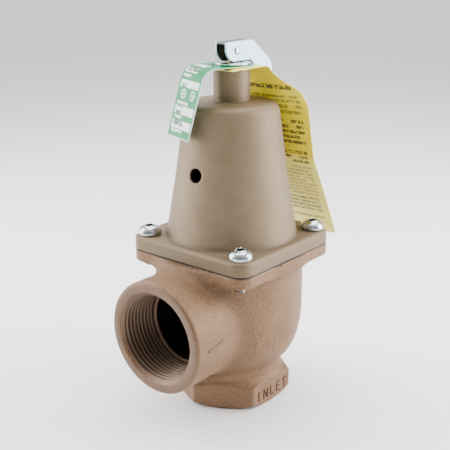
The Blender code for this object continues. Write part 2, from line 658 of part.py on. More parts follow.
def make_lever():
    half = LEVER_WIDTH / 2
    lever = upright_prism("lever", lever_profile(), half, PARTS)
    hollow = upright_prism("lever_hollow", lever_hollow(), half - LEVER_SHEET)
    pin_hole = lay_along_y(rod("lever_pin_hole", PIN_RADIUS + 0.1 * MM, -9 * MM, 9 * MM),
                           PIN_HEIGHT, math.pi / 2)
    wire_hole = lay_along_y(rod("lever_wire_hole", 1.6 * MM, -40 * MM, -22 * MM), 147.5 * MM)
    combine(lever, [hollow, pin_hole, wire_hole])
    finish(lever, "bright_steel", pivot=(0.0, 0.0, PIN_HEIGHT))


def make_lever_pin():
    """A rivet along X through both cheeks and the stem."""
    half = LEVER_WIDTH / 2 + CLEAR
    profile = [(0, half + 0.6 * MM), (1.4 * MM, half + 0.6 * MM), (2.0 * MM, half + 0.2 * MM),
               (2.0 * MM, half), (PIN_RADIUS, half), (PIN_RADIUS, -half), (1.7 * MM, -half),
               (1.5 * MM, -half - 0.5 * MM), (0, -half - 0.5 * MM)]
    pin = turned("lever_pin", profile, PARTS, SMALL_STEPS)
    finish(lay_along_y(pin, PIN_HEIGHT, math.pi / 2), "bright_steel", pivot=(0.0, 0.0, PIN_HEIGHT))


def make_lever_washer():
    bore, edge = STEM_RADIUS + 0.4 * MM, 0.25 * MM
    high = WASHER_BOTTOM + WASHER_THICKNESS
    washer = turned("lever_washer", [
        (bore, high), (WASHER_RADIUS - edge, high), (WASHER_RADIUS, high - edge),
        (WASHER_RADIUS, WASHER_BOTTOM), (bore, WASHER_BOTTOM)], PARTS, ring=True)
    finish(washer, "bright_steel")


def evenly(points, spacing):
    """The same line with extra points, so that no two are further apart than spacing."""
    line = [points[0]]
    for start, end in zip(points, points[1:]):
        pieces = max(1, math.ceil(math.dist(start, end) / spacing))
        line += [tuple(np.add(start, np.subtract(end, start) * step / pieces))
                 for step in range(1, pieces + 1)]
    return line


def make_tag(name, route, half_width_at, turn, material_name):
    """A bent sheet whose middle line follows route, with a hole for the stem."""
    line = evenly(rounded(route, per_turn=40), 9 * MM)
    travelled = np.concatenate([[0.0], np.cumsum([math.dist(a, b) for a, b in zip(line, line[1:])])])
    bm = bmesh.new()
    bmesh.ops.create_grid(bm, x_segments=2, y_segments=len(line) - 1, size=1.0)
    for vertex in bm.verts:
        row = round((vertex.co.y + 1) / 2 * (len(line) - 1))
        out, height = line[row]
        vertex.co = (vertex.co.x * half_width_at(travelled[row]), out, height)
    mesh = bpy.data.meshes.new(name)
    bm.to_mesh(mesh)
    bm.free()
    tag = add_object(name, mesh, PARTS)
    solid = tag.modifiers.new("Sheet", "SOLIDIFY")
    solid.thickness = TAG_THICKNESS
    solid.offset = 0.0
    hole = rod(name + "_hole", TAG_HOLE_RADIUS, BONNET_NECK_TOP - 5 * MM, BONNET_NECK_TOP + 5 * MM)
    combine(tag, [hole])
    tag.rotation_euler.z = turn
    finish(tag, material_name)


def caution_half_width(travelled):
    """A shipping tag's outline: a narrow eye end with clipped corners that widen to the full width."""
    eye, full = CAUTION_EYE_WIDTH / 2, CAUTION_WIDTH / 2
    return np.interp(travelled, [0.0, 3 * MM, 22 * MM, 33 * MM], [eye - 3 * MM, eye, eye, full])


def rating_half_width(travelled):
    """A strip with a round end."""
    radius = RATING_WIDTH / 2
    short = max(0.0, radius - travelled - 0.8 * MM)
    return math.sqrt(radius ** 2 - short ** 2)


make_body()
make_bonnet()
make_diaphragm()
make_flange_screws()
make_disc_holder()
make_seat_disc()
make_disc_washer()
make_disc_screw()
make_pressure_plate()
make_stem_nut()
make_stem()
make_spring()
make_spring_button()
make_adjusting_screw()
make_lever()
make_lever_pin()
make_lever_washer()
make_tag("caution_tag", CAUTION_ROUTE, caution_half_width, 0.0, "yellow_tag")
make_tag("rating_tag", RATING_ROUTE, rating_half_width, RATING_TURN, "green_tag")
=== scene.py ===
"""The looks of a pressure relief valve with a test lever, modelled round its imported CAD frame.

Lengths are millimetres in the valve's own frame: the stem's axis is x = y = 0, the inlet's face is
z = 0 and the outlet opens along -Y. Cast parts are sculpted: their CAD shape is cut into small
quads, and every point is then settled onto a rounded surface that is written as a distance.
"""

import contextlib
import functools
import json
import math

import bmesh
import bpy
import numpy as np
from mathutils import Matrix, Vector, noise


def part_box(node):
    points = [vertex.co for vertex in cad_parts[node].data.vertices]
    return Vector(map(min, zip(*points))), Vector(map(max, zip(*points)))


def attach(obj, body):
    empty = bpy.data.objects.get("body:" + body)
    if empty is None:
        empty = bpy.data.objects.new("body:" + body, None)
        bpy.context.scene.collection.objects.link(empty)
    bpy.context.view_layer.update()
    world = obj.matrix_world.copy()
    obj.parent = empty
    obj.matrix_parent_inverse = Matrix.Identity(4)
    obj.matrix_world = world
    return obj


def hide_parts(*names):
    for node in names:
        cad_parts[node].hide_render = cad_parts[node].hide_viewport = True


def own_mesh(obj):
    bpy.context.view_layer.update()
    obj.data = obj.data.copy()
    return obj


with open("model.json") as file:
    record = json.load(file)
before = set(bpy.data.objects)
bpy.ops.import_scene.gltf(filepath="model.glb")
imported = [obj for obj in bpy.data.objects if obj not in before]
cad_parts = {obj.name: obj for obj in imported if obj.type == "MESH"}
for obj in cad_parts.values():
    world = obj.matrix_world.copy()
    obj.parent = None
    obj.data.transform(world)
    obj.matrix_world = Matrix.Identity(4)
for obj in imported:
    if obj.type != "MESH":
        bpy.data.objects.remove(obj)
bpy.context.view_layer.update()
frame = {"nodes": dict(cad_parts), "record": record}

MM = 0.001
PIVOT = next(joint["pos_m"] for joint in frame["record"]["behaviour"]["joints"]
             if joint["name"] == "lever_pivot")
AXIS = np.array([0.0, PIVOT[1], 0.0])


def node_box(name):
    """A CAD node's lowest and highest corners in the valve's frame."""
    return [(np.array(corner) - AXIS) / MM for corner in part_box(name)]


BODY_LOW, BODY_HIGH = node_box("valve_body")
BONNET_LOW, BONNET_HIGH = node_box("bonnet")

# Flanges
FLANGE_HALF = BODY_HIGH[0]
FLANGE_CORNER = 7.2
FLANGE_TOP = BODY_HIGH[2]
FLANGE_BOTTOM = FLANGE_TOP - 5.45
BONNET_BOTTOM = BONNET_LOW[2]
BONNET_FLANGE_TOP = BONNET_BOTTOM + 6.45
SCREW_SPACING = 55.5
SCREW_HOLE = 3.3
SCREW_TIP = node_box("flange_screw_1")[0][2]
SCREW_HEAD, SCREW_SHANK, SCREW_ROOT, SCREW_PITCH = 5.55, 3.0, 2.45, 1.27
RECESS_RADIUS, RECESS_LOBE = 1.95, 0.36
ABOVE_BODY = FLANGE_TOP + 9

# Body casting
BULB_RADIUS, BULB_MIDDLE, BULB_DEPTH, BULB_TUCK = 34.5, 47.5, 26.3, 10.5
NECK_RADIUS = 24.6
HEX_FLAT = 25.4
HEX_HEIGHT = 12.9
OUTLET_FACE = BODY_LOW[1]
OUTLET_HEIGHT = 45.6
OUTLET_RADIUS = 26.7
CHAMBER_RADIUS, CHAMBER_MOUTH, CHAMBER_FLOOR = 29.8, 28.0, 27.5
NOZZLE_BORE, NOZZLE_RADIUS, SEAT_HEIGHT = 13.0, 16.5, 55.5

# 1-1/4 in taper pipe thread
THREAD_PITCH = 2.209
THREAD_MINOR, THREAD_MAJOR = 19.75, 21.1
THREAD_MOUTH = 21.8
THREAD_TAPER = 1 / 32
MACHINED_STEP = 0.35    # how far the cast skin lies below a machined face
OUTLET_LAND, OUTLET_THREAD = 25.75, 20.0    # radius of the face round the socket, depth of thread
INLET_LAND, INLET_THREAD = 25.2, 18.0

# Raised and cut marks
WORD_DEPTH, MARK_HEIGHT = 0.5, 0.45
FIGURE_SHARE = 0.45     # the worn size figures' height, as a share of the flow dash's

# Bonnet casting
BELL_FOOT, BELL_SHOULDER, BELL_TOP, BELL_WALL = 31.3, 22.0, 146.3, 3.2
BELL_WAIST = (26.3, 112.5)
BONNET_NECK, BONNET_NECK_TOP, BONNET_BORE = 8.5, BONNET_HIGH[2], 5.5
VENT_RADIUS, VENT_HEIGHT = 3.25, 115.2

ACROSS = 80.0           # farther from an axis than anything reaches


# ---- node formulas for the materials

def set_inputs(node, **values):
    """Constants on a node's own sockets. A socket's name has _ for each space."""
    for socket, value in values.items():
        node.inputs[socket.replace("_", " ")].default_value = value


class Value:
    """A number in a node tree. Arithmetic on it adds the nodes, so a pattern reads as a formula."""

    def __init__(self, tree, socket):
        self.tree, self.socket = tree, socket

    def apply(self, operation, *others):
        node = self.tree.nodes.new("ShaderNodeMath")
        node.operation = operation
        for slot, value in zip(node.inputs, (self, *others)):
            if isinstance(value, Value):
                self.tree.links.new(value.socket, slot)
            else:
                slot.default_value = value
        return Value(self.tree, node.outputs[0])

    def __add__(self, other):
        return self.apply("ADD", other)

    def __sub__(self, other):
        return self.apply("SUBTRACT", other)

    def __mul__(self, other):
        return self.apply("MULTIPLY", other)

    def __truediv__(self, other):
        return self.apply("DIVIDE", other)

    def above(self, limit):
        return self.apply("GREATER_THAN", limit)

    def between(self, low, high):
        return self.above(low) * (self.above(high) * -1.0 + 1.0)

    def floor(self):
        return self.apply("FLOOR")

    def part(self):
        return self.apply("FRACT")

    def either(self, other):
        return self.apply("MAXIMUM", other)

    def ramp(self, low, high, start=0.0, end=1.0):
        """start below low, end above high, and even between them."""
        node = self.tree.nodes.new("ShaderNodeMapRange")
        set_inputs(node, From_Min=low, From_Max=high, To_Min=start, To_Max=end)
        self.tree.links.new(self.socket, node.inputs["Value"])
        return Value(self.tree, node.outputs["Result"])


def any_of(values):
    """The largest of the values."""
    return functools.reduce(Value.either, values)


class Finish:
    """A material whose colour, roughness and relief come from formulas."""

    def __init__(self, name, **constants):
        self.material = bpy.data.materials.new(name)
        self.material.use_nodes = True
        self.tree = self.material.node_tree
        self.shader = self.tree.nodes["Principled BSDF"]
        set_inputs(self.shader, **constants)
        self.node, self.link = self.tree.nodes.new, self.tree.links.new
        self.place = self.node("ShaderNodeTexCoord").outputs["Object"]

    def scaled_place(self, stretch):
        node = self.node("ShaderNodeMapping")
        set_inputs(node, Scale=stretch)
        self.link(self.place, node.inputs["Vector"])
        return node.outputs["Vector"]

    def noise(self, size, detail=2.0, roughness=0.5, stretch=(1, 1, 1)):
        """Cloudy noise from 0 to 1 whose largest blots are size millimetres across."""
        node = self.node("ShaderNodeTexNoise")
        set_inputs(node, Scale=1 / (size * MM), Detail=detail, Roughness=roughness)
        self.link(self.scaled_place(stretch), node.inputs["Vector"])
        return Value(self.tree, node.outputs["Fac"])

    def grains(self, size):
        """The distance to the nearest grain's middle, as a share of the grain's size."""
        node = self.node("ShaderNodeTexVoronoi")
        set_inputs(node, Scale=1 / (size * MM))
        self.link(self.place, node.inputs["Vector"])
        return Value(self.tree, node.outputs["Distance"])

    def attribute(self, name):
        node = self.node("ShaderNodeAttribute")
        node.attribute_name = name
        return Value(self.tree, node.outputs["Fac"])

    def random(self, first, second):
        """One even random number for each pair of whole numbers."""
        join = self.node("ShaderNodeCombineXYZ")
        self.link(first.socket, join.inputs["X"])
        self.link(second.socket, join.inputs["Y"])
        node = self.node("ShaderNodeTexWhiteNoise")
        node.noise_dimensions = "2D"
        self.link(join.outputs["Vector"], node.inputs["Vector"])
        return Value(self.tree, node.outputs["Value"])

    def mix(self, share, low, high):
        """A colour between low and high. Each is a colour or another mix."""
        node = self.node("ShaderNodeMix")
        node.data_type = "RGBA"
        self.link(share.socket, node.inputs["Factor"])
        for slot, colour in ((node.inputs[6], low), (node.inputs[7], high)):
            if isinstance(colour, tuple):
                slot.default_value = (*colour, 1.0)
            else:
                self.link(colour, slot)
        return node.outputs[2]

    def colour(self, socket):
        self.link(socket, self.shader.inputs["Base Color"])

    def roughness(self, value):
        self.link(value.socket, self.shader.inputs["Roughness"])

    def relief(self, height, depth):
        """Bumps of height 0 to 1, depth millimetres deep."""
        node = self.node("ShaderNodeBump")
        set_inputs(node, Distance=depth * MM)
        self.link(height.socket, node.inputs["Height"])
        self.link(node.outputs["Normal"], self.shader.inputs["Normal"])


def cast_finish(name, skin, pale, recess, grain_size, depth, metal, rough):
    """Sand-cast bronze: mottled colour, a coarse grain, painted shade in its fillets and grooves and round
    its raised marks, and near-black painted shade inside its hollows.
    """
    cast = Finish(name, Metallic=metal, Specular_IOR_Level=0.25)
    grain = cast.noise(grain_size, detail=3.0, roughness=0.6)
    pits = cast.grains(grain_size * 0.8)
    mottle = cast.noise(9.0)
    lit = (grain + mottle * 0.35 + pits * 0.3).ramp(0.55, 1.05)
    colour = cast.mix(lit, skin, pale)
    # Painted shade: the recess colour in fillets, cut letters and round raised marks, its edge broken up by
    # the mottle.
    cavity_shade = (cast.attribute("cavity_shade") + (mottle - 0.5) * 0.25).ramp(0.05, 0.8)
    # Painted shade: near-black inside the hollows, vents and sockets.
    deep = cast.attribute("cavity_shade").ramp(0.93, 1.0)
    cast.colour(cast.mix(deep, cast.mix(cavity_shade, colour, recess), (0.010, 0.008, 0.006)))
    cast.roughness(grain.ramp(0.3, 0.7, rough - 0.07, rough + 0.1))
    cast.relief(grain + pits * 0.5, depth)
    return cast.material


def turned_finish(name, low, high, metal, rough, along):
    """Machined metal with fine tool marks round the axis that along names, and painted shade in its grooves.
    """
    steel = Finish(name, Metallic=metal)
    stretch = {"y": (0.04, 1, 0.04), "z": (0.04, 0.04, 1)}[along]
    marks = steel.noise(0.35, detail=3.0, stretch=stretch)
    smudge = steel.noise(5.0, detail=3.0)
    bright = steel.mix((marks * 0.5 + smudge * 0.6).ramp(0.3, 0.85), low, high)
    # Painted shade in the thread grooves and inside the sockets, from the vertex attribute.
    steel.colour(steel.mix(steel.attribute("cavity_shade"), bright, (0.035, 0.02, 0.012)))
    steel.roughness((smudge + marks * 0.4).ramp(0.4, 1.0, rough - 0.06, rough + 0.12))
    steel.relief(marks, 0.03)
    return steel.material


def sheet_finish(name, low, high, metal, rough):
    """Zinc-plated steel: bright, a little cloudy, with hairline scratches, and painted shade inside recesses
    and hollows.
    """
    zinc = Finish(name, Metallic=metal)
    cloud = zinc.noise(3.0, detail=4.0)
    scratches = zinc.noise(0.5, detail=4.0, roughness=0.75, stretch=(1, 1, 0.12))
    bright = zinc.mix((cloud * 0.8 + scratches * 0.3).ramp(0.35, 0.8), low, high)
    # Painted shade in the screw recesses and between the lever's cheeks.
    zinc.colour(zinc.mix(zinc.attribute("inside") * 0.85, bright, (0.05, 0.06, 0.04)))
    zinc.roughness((cloud + scratches * 0.5).ramp(0.4, 1.1, rough - 0.05, rough + 0.12))
    zinc.relief(scratches + cloud * 0.4, 0.012)
    return zinc.material


def rubber_finish(name, low, high):
    rubber = Finish(name, Specular_IOR_Level=0.35)
    dust = rubber.noise(1.2, detail=4.0)
    rubber.colour(rubber.mix(dust.ramp(0.4, 0.75), low, high))
    rubber.roughness(dust.ramp(0.3, 0.7, 0.55, 0.8))
    rubber.relief(dust, 0.04)
    return rubber.material


def greeked(finish, across, line_at, pitch, letter, margin):
    """Ink of unreadable dashes in lines: random cells stand for strokes, with gaps between words.
    across and line_at are millimetres; a line is pitch tall, a letter's stroke letter wide."""
    line = (line_at / pitch).floor()
    within = (line_at / pitch).part()
    row = (within * 4.0).floor()
    cell = (across / letter).floor()
    stroke = finish.random(cell, line * 7.0 + row).above(0.27)
    shift = finish.random(line, line * 3.0)
    word = finish.random((across / (letter * 6.0) + shift).floor(), line).above(0.07)
    ragged = finish.random(line * 5.0, line) * 9.0 - (margin - 4.0)
    ink = stroke * word * within.between(0.16, 0.8)
    return ink * (across * -1.0).above(-margin) * across.above(ragged)


# The yellow tag's print, block by block: its line pitch, stroke width, margin and strength, and the
# stretches it fills, measured along the tag from its end at the stem
CAUTION_PRINT = [
    (4.4, 1.0, 21.0, 1.0, [(30.8, 35.2)]),
    (2.9, 0.62, 22.0, 0.75, [(37.7, 49.3)]),
    (2.7, 0.70, 22.0, 1.0, [(51.3, 64.8), (67.5, 75.6)]),
    (2.2, 0.45, 22.0, 0.6, [(77.0, 96.8)]),
    (2.5, 0.6, 21.0, 0.85, [(97.5, 107.5), (110.0, 112.5)]),
]


def caution_finish():
    """Yellow tag paper, printed with a heading and paragraphs of dashes, with painted shade above its fold
    and painted light below it.
    """
    paper = Finish("yellow_tag_paper", Specular_IOR_Level=0.4)
    across, along = paper.attribute("across"), paper.attribute("along")
    blocks = []
    for pitch, letter, margin, strength, stretches in CAUTION_PRINT:
        filled = any_of([along.between(*stretch) for stretch in stretches])
        blocks.append(greeked(paper, across, along, pitch, letter, margin) * filled * strength)
    ink = any_of(blocks)
    fibres = paper.noise(1.6, detail=4.0)
    cloud = paper.noise(22.0)
    # The deeper yellow above the fold is painted shade; the paler yellow below it is painted light.
    shaded_yellow = paper.mix(fibres.ramp(0.3, 0.7), (0.84, 0.66, 0.010), (0.92, 0.75, 0.02))
    lit_yellow = paper.mix(fibres.ramp(0.3, 0.7), (0.90, 0.80, 0.17), (0.94, 0.85, 0.26))
    below = (along + (cloud - 0.5) * 8.0).ramp(69.0, 76.0, 0.0, 0.85)
    edge = paper.attribute("edge")
    # Pale rubbed edges over the fold's painted light and shade.
    worn = paper.mix(edge * 0.35, paper.mix(below, shaded_yellow, lit_yellow), (0.9, 0.85, 0.6))
    paper.colour(paper.mix(ink * 0.86, worn, (0.05, 0.045, 0.03)))
    paper.roughness((fibres * 0.5 + ink * 0.2).ramp(0.0, 0.6, 0.36, 0.6))
    paper.relief(fibres + cloud * 2.0, 0.05)
    return paper.material


# The green tag's white boxes, as their low and high edges above the tag's end and their reach to
# each side, and the stretches of small white print
RATING_BOXES = [(4.0, 7.9, 8.6, 8.6), (10.6, 14.4, 8.6, 8.6), (22.9, 26.2, 8.4, 8.4),
                (29.9, 32.9, 2.4, 8.7), (34.6, 38.0, 2.4, 8.7)]
RATING_LABELS = [(1.6, 3.7), (8.3, 10.2), (14.8, 16.9), (26.9, 29.0)]
EMBLEM_ASIDE, EMBLEM_ABOVE = 4.2, 19.9


def rating_finish(length):
    """Green tag paper with white boxes of dashes between lines of small white print."""
    paper = Finish("green_tag_paper", Specular_IOR_Level=0.25)
    across, along = paper.attribute("across"), paper.attribute("along")
    up = along * -1.0 + length
    white = any_of([up.between(low, high) * across.between(-left, right)
                    for low, high, left, right in RATING_BOXES])
    beside_box = up.between(30.3, 32.4) * across.between(-8.8, -3.2)
    labels = any_of([up.between(*stretch) for stretch in RATING_LABELS] + [beside_box])
    label = greeked(paper, across, up, 2.1, 0.42, RATING_HALF_WIDTH - 2.2)
    emblems = []
    for middle in (-EMBLEM_ASIDE, EMBLEM_ASIDE):
        aside, above = across - middle, up - EMBLEM_ABOVE
        radius = (aside * aside + above * above).apply("SQRT")
        emblems.append(radius.between(1.55, 2.15).either(radius.between(0.0, 0.7)))
    light = any_of([white, label * labels, *emblems])
    dark = greeked(paper, across, up - 0.4, 4.2, 0.75, RATING_HALF_WIDTH - 2.8) * white
    fibres = paper.noise(1.2, detail=4.0)
    green = paper.mix(fibres.ramp(0.3, 0.7), (0.001, 0.19, 0.060), (0.002, 0.24, 0.085))
    printed = paper.mix(light * 0.93, green, (0.82, 0.86, 0.84))
    worn = paper.mix(paper.attribute("edge") * 0.9, printed, (0.80, 0.86, 0.82))
    paper.colour(paper.mix(dark * 0.9, worn, (0.04, 0.08, 0.065)))
    paper.roughness(fibres.ramp(0.3, 0.7, 0.36, 0.48))
    paper.relief(fibres, 0.02)
    return paper.material


def floor_finish():
    paper = Finish("floor_paper", Specular_IOR_Level=0.1)
    tooth = paper.noise(2.5, detail=3.0)
    paper.colour(paper.mix(tooth, (0.90, 0.90, 0.90), (0.94, 0.94, 0.94)))
    paper.roughness(tooth.ramp(0.0, 1.0, 0.85, 0.95))
    return paper.material


# ---- camera, light, floor

def new_object(name, data):
    obj = bpy.data.objects.new(name, data)
    bpy.context.scene.collection.objects.link(obj)
    return obj


def aim(obj, target):
    obj.rotation_euler = (Vector(target) - obj.location).to_track_quat("-Z", "Y").to_euler()


def in_scene(point):
    return Vector(np.array(point) * MM + AXIS)


def make_camera():
    data = bpy.data.cameras.new("camera")
    data.lens, data.sensor_width = 70.57, 36.0
    data.shift_x = -0.015
    camera = new_object("camera", data)
    camera.location = in_scene((256.0, -312.7, 217.2))
    aim(camera, in_scene((0, 0, 85.5)))
    bpy.context.scene.camera = camera


def make_light(name, place, size, watts):
    data = bpy.data.lights.new(name, "AREA")
    data.shape = "RECTANGLE"
    data.size, data.size_y = size[0] * MM, size[1] * MM
    data.energy = watts
    lamp = new_object(name, data)
    lamp.location = in_scene(place)
    aim(lamp, in_scene((0, 0, 85)))


TENT_LIGHT, TENT_OPENING = 1.35, 0.5
TO_PHOTOGRAPHER = (0.634, -0.773, 0.0)


def make_studio():
    """A white tent, open and so darker where the photographer stands, with three softboxes."""
    world = bpy.data.worlds.new("studio")
    world.use_nodes = True
    tree = world.node_tree
    background = tree.nodes["Background"]
    set_inputs(background, Color=(1.0, 1.0, 1.0, 1.0))
    toward = tree.nodes.new("ShaderNodeVectorMath")
    toward.operation = "DOT_PRODUCT"
    toward.inputs[1].default_value = TO_PHOTOGRAPHER
    tree.links.new(tree.nodes.new("ShaderNodeTexCoord").outputs["Generated"], toward.inputs[0])
    tent = Value(tree, toward.outputs["Value"]).ramp(0.25, 0.85, TENT_LIGHT, TENT_OPENING)
    tree.links.new(tent.socket, background.inputs["Strength"])
    bpy.context.scene.world = world
    make_light("right_softbox", (380, 330, 200), (400, 700), 9.0)
    make_light("left_softbox", (-430, -240, 200), (400, 700), 7.0)
    make_light("top_softbox", (-120, 160, 620), (600, 600), 6.0)


def make_floor(finish):
    bm = bmesh.new()
    bmesh.ops.create_grid(bm, x_segments=1, y_segments=1, size=3.0)
    mesh = bpy.data.meshes.new("floor")
    bm.to_mesh(mesh)
    bm.free()
    mesh.materials.append(finish)
    floor = new_object("floor", mesh)
    floor.location.z = -0.05 * MM


# ---- surfaces written as distances

def smooth_min(a, b, blend):
    """The nearer of two solids, joined by a fillet about as large as blend."""
    share = np.clip(0.5 + 0.5 * (b - a) / blend, 0, 1)
    return b + (a - b) * share - blend * share * (1 - share)


def round_max(a, b, radius):
    """What two solids share, its edge rounded to the radius."""
    a, b = a + radius, b + radius
    return np.minimum(np.maximum(a, b), 0) + np.hypot(np.maximum(a, 0), np.maximum(b, 0)) - radius


def outline_distance(across, up, outline):
    """Signed distance to a closed outline, below zero inside it."""
    nearest = np.full(across.shape, np.inf)
    inside = np.zeros(across.shape, bool)
    for (u0, v0), (u1, v1) in zip(outline, outline[1:] + outline[:1]):
        du, dv = u1 - u0, v1 - v0
        along = np.clip(((across - u0) * du + (up - v0) * dv) / (du * du + dv * dv), 0, 1)
        nearest = np.minimum(nearest, (across - u0 - along * du) ** 2 + (up - v0 - along * dv) ** 2)
        if dv:
            inside ^= ((v0 > up) != (v1 > up)) & (across < du * (up - v0) / dv + u0)
    return np.where(inside, -1, 1) * np.sqrt(nearest)


def stem_radius(points):
    return np.hypot(points[:, 0], points[:, 1])


def turned_solid(points, outline):
    """Distance to an outline of (radius, height) turned round the stem's axis."""
    return outline_distance(stem_radius(points), points[:, 2], outline)


def rounded(corners, steps=8):
    """A line of (u, v, radius) corners as plain points, each corner turned at its radius."""
    points = []
    for i, (u, v, radius) in enumerate(corners):
        if radius == 0:
            points.append((u, v))
            continue
        here = np.array([u, v])
        back = np.array(corners[i - 1][:2]) - here
        ahead = np.array(corners[i + 1][:2]) - here
        back, ahead = back / np.hypot(*back), ahead / np.hypot(*ahead)
        half = math.acos(np.clip(np.dot(back, ahead), -1, 1)) / 2
        middle = here + (back + ahead) / np.hypot(*(back + ahead)) * radius / math.sin(half)
        start = here + back * radius / math.tan(half) - middle
        end = here + ahead * radius / math.tan(half) - middle
        turn = math.atan2(start[0] * end[1] - start[1] * end[0], np.dot(start, end))
        for step in range(steps + 1):
            c, s = math.cos(turn * step / steps), math.sin(turn * step / steps)
            points.append(tuple(middle + (start[0] * c - start[1] * s, start[0] * s + start[1] * c)))
    return points


def square_distance(points, half, corner):
    """Distance in plan to a square with round corners."""
    x, y = np.abs(points[:, :2].T) - (half - corner)
    return np.hypot(np.maximum(x, 0), np.maximum(y, 0)) + np.minimum(np.maximum(x, y), 0) - corner


def screw_hole_distance(points):
    x, y = np.abs(points[:, :2].T) - SCREW_SPACING / 2
    radial = np.hypot(x, y) - SCREW_HOLE
    return np.maximum(radial, SCREW_TIP - 0.5 - points[:, 2])


def bulb_distance(points):
    outline = [(-ACROSS, ABOVE_BODY), (BULB_RADIUS, ABOVE_BODY)]
    for angle in np.radians(np.linspace(0, 75, 22)):
        outline.append((BULB_RADIUS - BULB_TUCK * (1 - math.cos(angle)),
                        BULB_MIDDLE - BULB_DEPTH * math.sin(angle)))
    outline += [(NECK_RADIUS + 0.6, outline[-1][1] - 1.6), (NECK_RADIUS, outline[-1][1] - 3.4),
                (NECK_RADIUS - 0.6, 4.0), (-ACROSS, 4.0)]
    return turned_solid(points, outline)


def hexagon_distance(points):
    """The inlet's wrench flats, their corners turned off at both ends."""
    x, y = points[:, :2].T
    flats = [np.abs(x * math.cos(a) + y * math.sin(a)) - HEX_FLAT for a in np.radians([0, 60, 120])]
    sides = round_max(round_max(flats[0], flats[1], 0.7), flats[2], 0.7)
    corner = HEX_FLAT / math.cos(math.pi / 6)
    cones = turned_solid(points, rounded([
        (-ACROSS, HEX_HEIGHT, 0), (NECK_RADIUS + 0.4, HEX_HEIGHT, 0.6), (corner + 0.2, HEX_HEIGHT - 2.1, 0.8),
        (corner + 0.2, 2.6, 0.6), (HEX_FLAT + 0.4, MACHINED_STEP, 0.3), (-ACROSS, MACHINED_STEP, 0)]))
    return round_max(sides, cones, 0.5)


def outlet_radius(points):
    return np.hypot(points[:, 0], points[:, 2] - OUTLET_HEIGHT)


def boss_distance(points):
    taper = np.interp(points[:, 1], [OUTLET_FACE, OUTLET_FACE + 12, -22], [0, 0, 0.7])
    cylinder = outlet_radius(points) - OUTLET_RADIUS + taper
    boss = round_max(cylinder, OUTLET_FACE + MACHINED_STEP - points[:, 1], 1.1)
    return np.maximum(boss, points[:, 1] + 5)


def body_flange_distance(points):
    sides = square_distance(points, FLANGE_HALF, FLANGE_CORNER)
    return round_max(sides, FLANGE_BOTTOM - points[:, 2], 1.1)


def chamber_distance(points):
    """The ring-shaped room round the nozzle."""
    seat = SEAT_HEIGHT - 0.15
    return turned_solid(points, rounded([
        (-ACROSS, ABOVE_BODY, 0), (CHAMBER_MOUTH, ABOVE_BODY, 0),
        (CHAMBER_MOUTH, FLANGE_BOTTOM - 2, 1.5), (CHAMBER_RADIUS, FLANGE_BOTTOM - 6, 1.5),
        (CHAMBER_RADIUS, BULB_MIDDLE - 6, 6), (CHAMBER_RADIUS - 5, CHAMBER_FLOOR + 1.5, 3),
        (CHAMBER_RADIUS - 8, CHAMBER_FLOOR, 1), (NOZZLE_RADIUS, CHAMBER_FLOOR, 2),
        (NOZZLE_RADIUS, SEAT_HEIGHT - 4, 0.5), (14.6, seat, 0), (-ACROSS, seat, 0)]))


def inlet_passage_distance(points):
    room = THREAD_MAJOR + 0.3
    return turned_solid(points, [
        (-ACROSS, SEAT_HEIGHT + 1), (NOZZLE_BORE, SEAT_HEIGHT + 1), (NOZZLE_BORE, 24.0),
        (THREAD_MINOR - 1, 18.2), (room, 18.0), (room, -9.0), (-ACROSS, -9.0)])


def outlet_passage_distance(points):
    depth = points[:, 1] - OUTLET_FACE
    room = THREAD_MAJOR + 0.3
    return outline_distance(outlet_radius(points), depth, [
        (-ACROSS, -9.0), (room, -9.0), (room, 20.0), (THREAD_MINOR - 1.5, 20.2),
        (THREAD_MINOR - 1.5, 35.4), (-ACROSS, 35.4)])


def body_solids(points):
    bulb, boss = bulb_distance(points), boss_distance(points)
    flange, hexagon = body_flange_distance(points), hexagon_distance(points)
    sharp = np.minimum(np.minimum(bulb, boss), np.minimum(flange, hexagon))
    cast = smooth_min(smooth_min(bulb, boss, 10.0), flange, 5.0)
    return sharp, smooth_min(cast, hexagon, 2.6)


def body_skin_distance(points):
    cast = np.maximum(body_solids(points)[1], points[:, 2] - FLANGE_TOP)
    return np.maximum(cast, -screw_hole_distance(points))


def body_hollow_distance(points):
    hollow = np.minimum(chamber_distance(points), inlet_passage_distance(points))
    return np.minimum(hollow, outlet_passage_distance(points))


def body_distance(points):
    return np.maximum(body_skin_distance(points), -body_hollow_distance(points))


def bell_outline():
    return rounded([
        (-ACROSS, BONNET_NECK_TOP, 0), (BONNET_NECK, BONNET_NECK_TOP, 0.5), (BONNET_NECK, BELL_TOP, 1.0),
        (BELL_SHOULDER - 0.3, BELL_TOP - 0.8, 4.5), (*BELL_WAIST, 90), (BELL_FOOT, BONNET_FLANGE_TOP, 0),
        (BELL_FOOT, BONNET_FLANGE_TOP - 3, 0), (-ACROSS, BONNET_FLANGE_TOP - 3, 0)], 14)


def bell_hollow_outline():
    ceiling = BELL_TOP - BELL_WALL
    return [
        (-ACROSS, ceiling), (BELL_SHOULDER - 2 * BELL_WALL, ceiling),
        (BELL_SHOULDER - BELL_WALL, ceiling - 3), (BELL_WAIST[0] - BELL_WALL, BELL_WAIST[1]),
        (CHAMBER_MOUTH, BONNET_FLANGE_TOP), (CHAMBER_MOUTH, 0.0), (-ACROSS, 0.0)]


def vent_radius(points):
    return np.hypot(points[:, 0], points[:, 2] - VENT_HEIGHT)


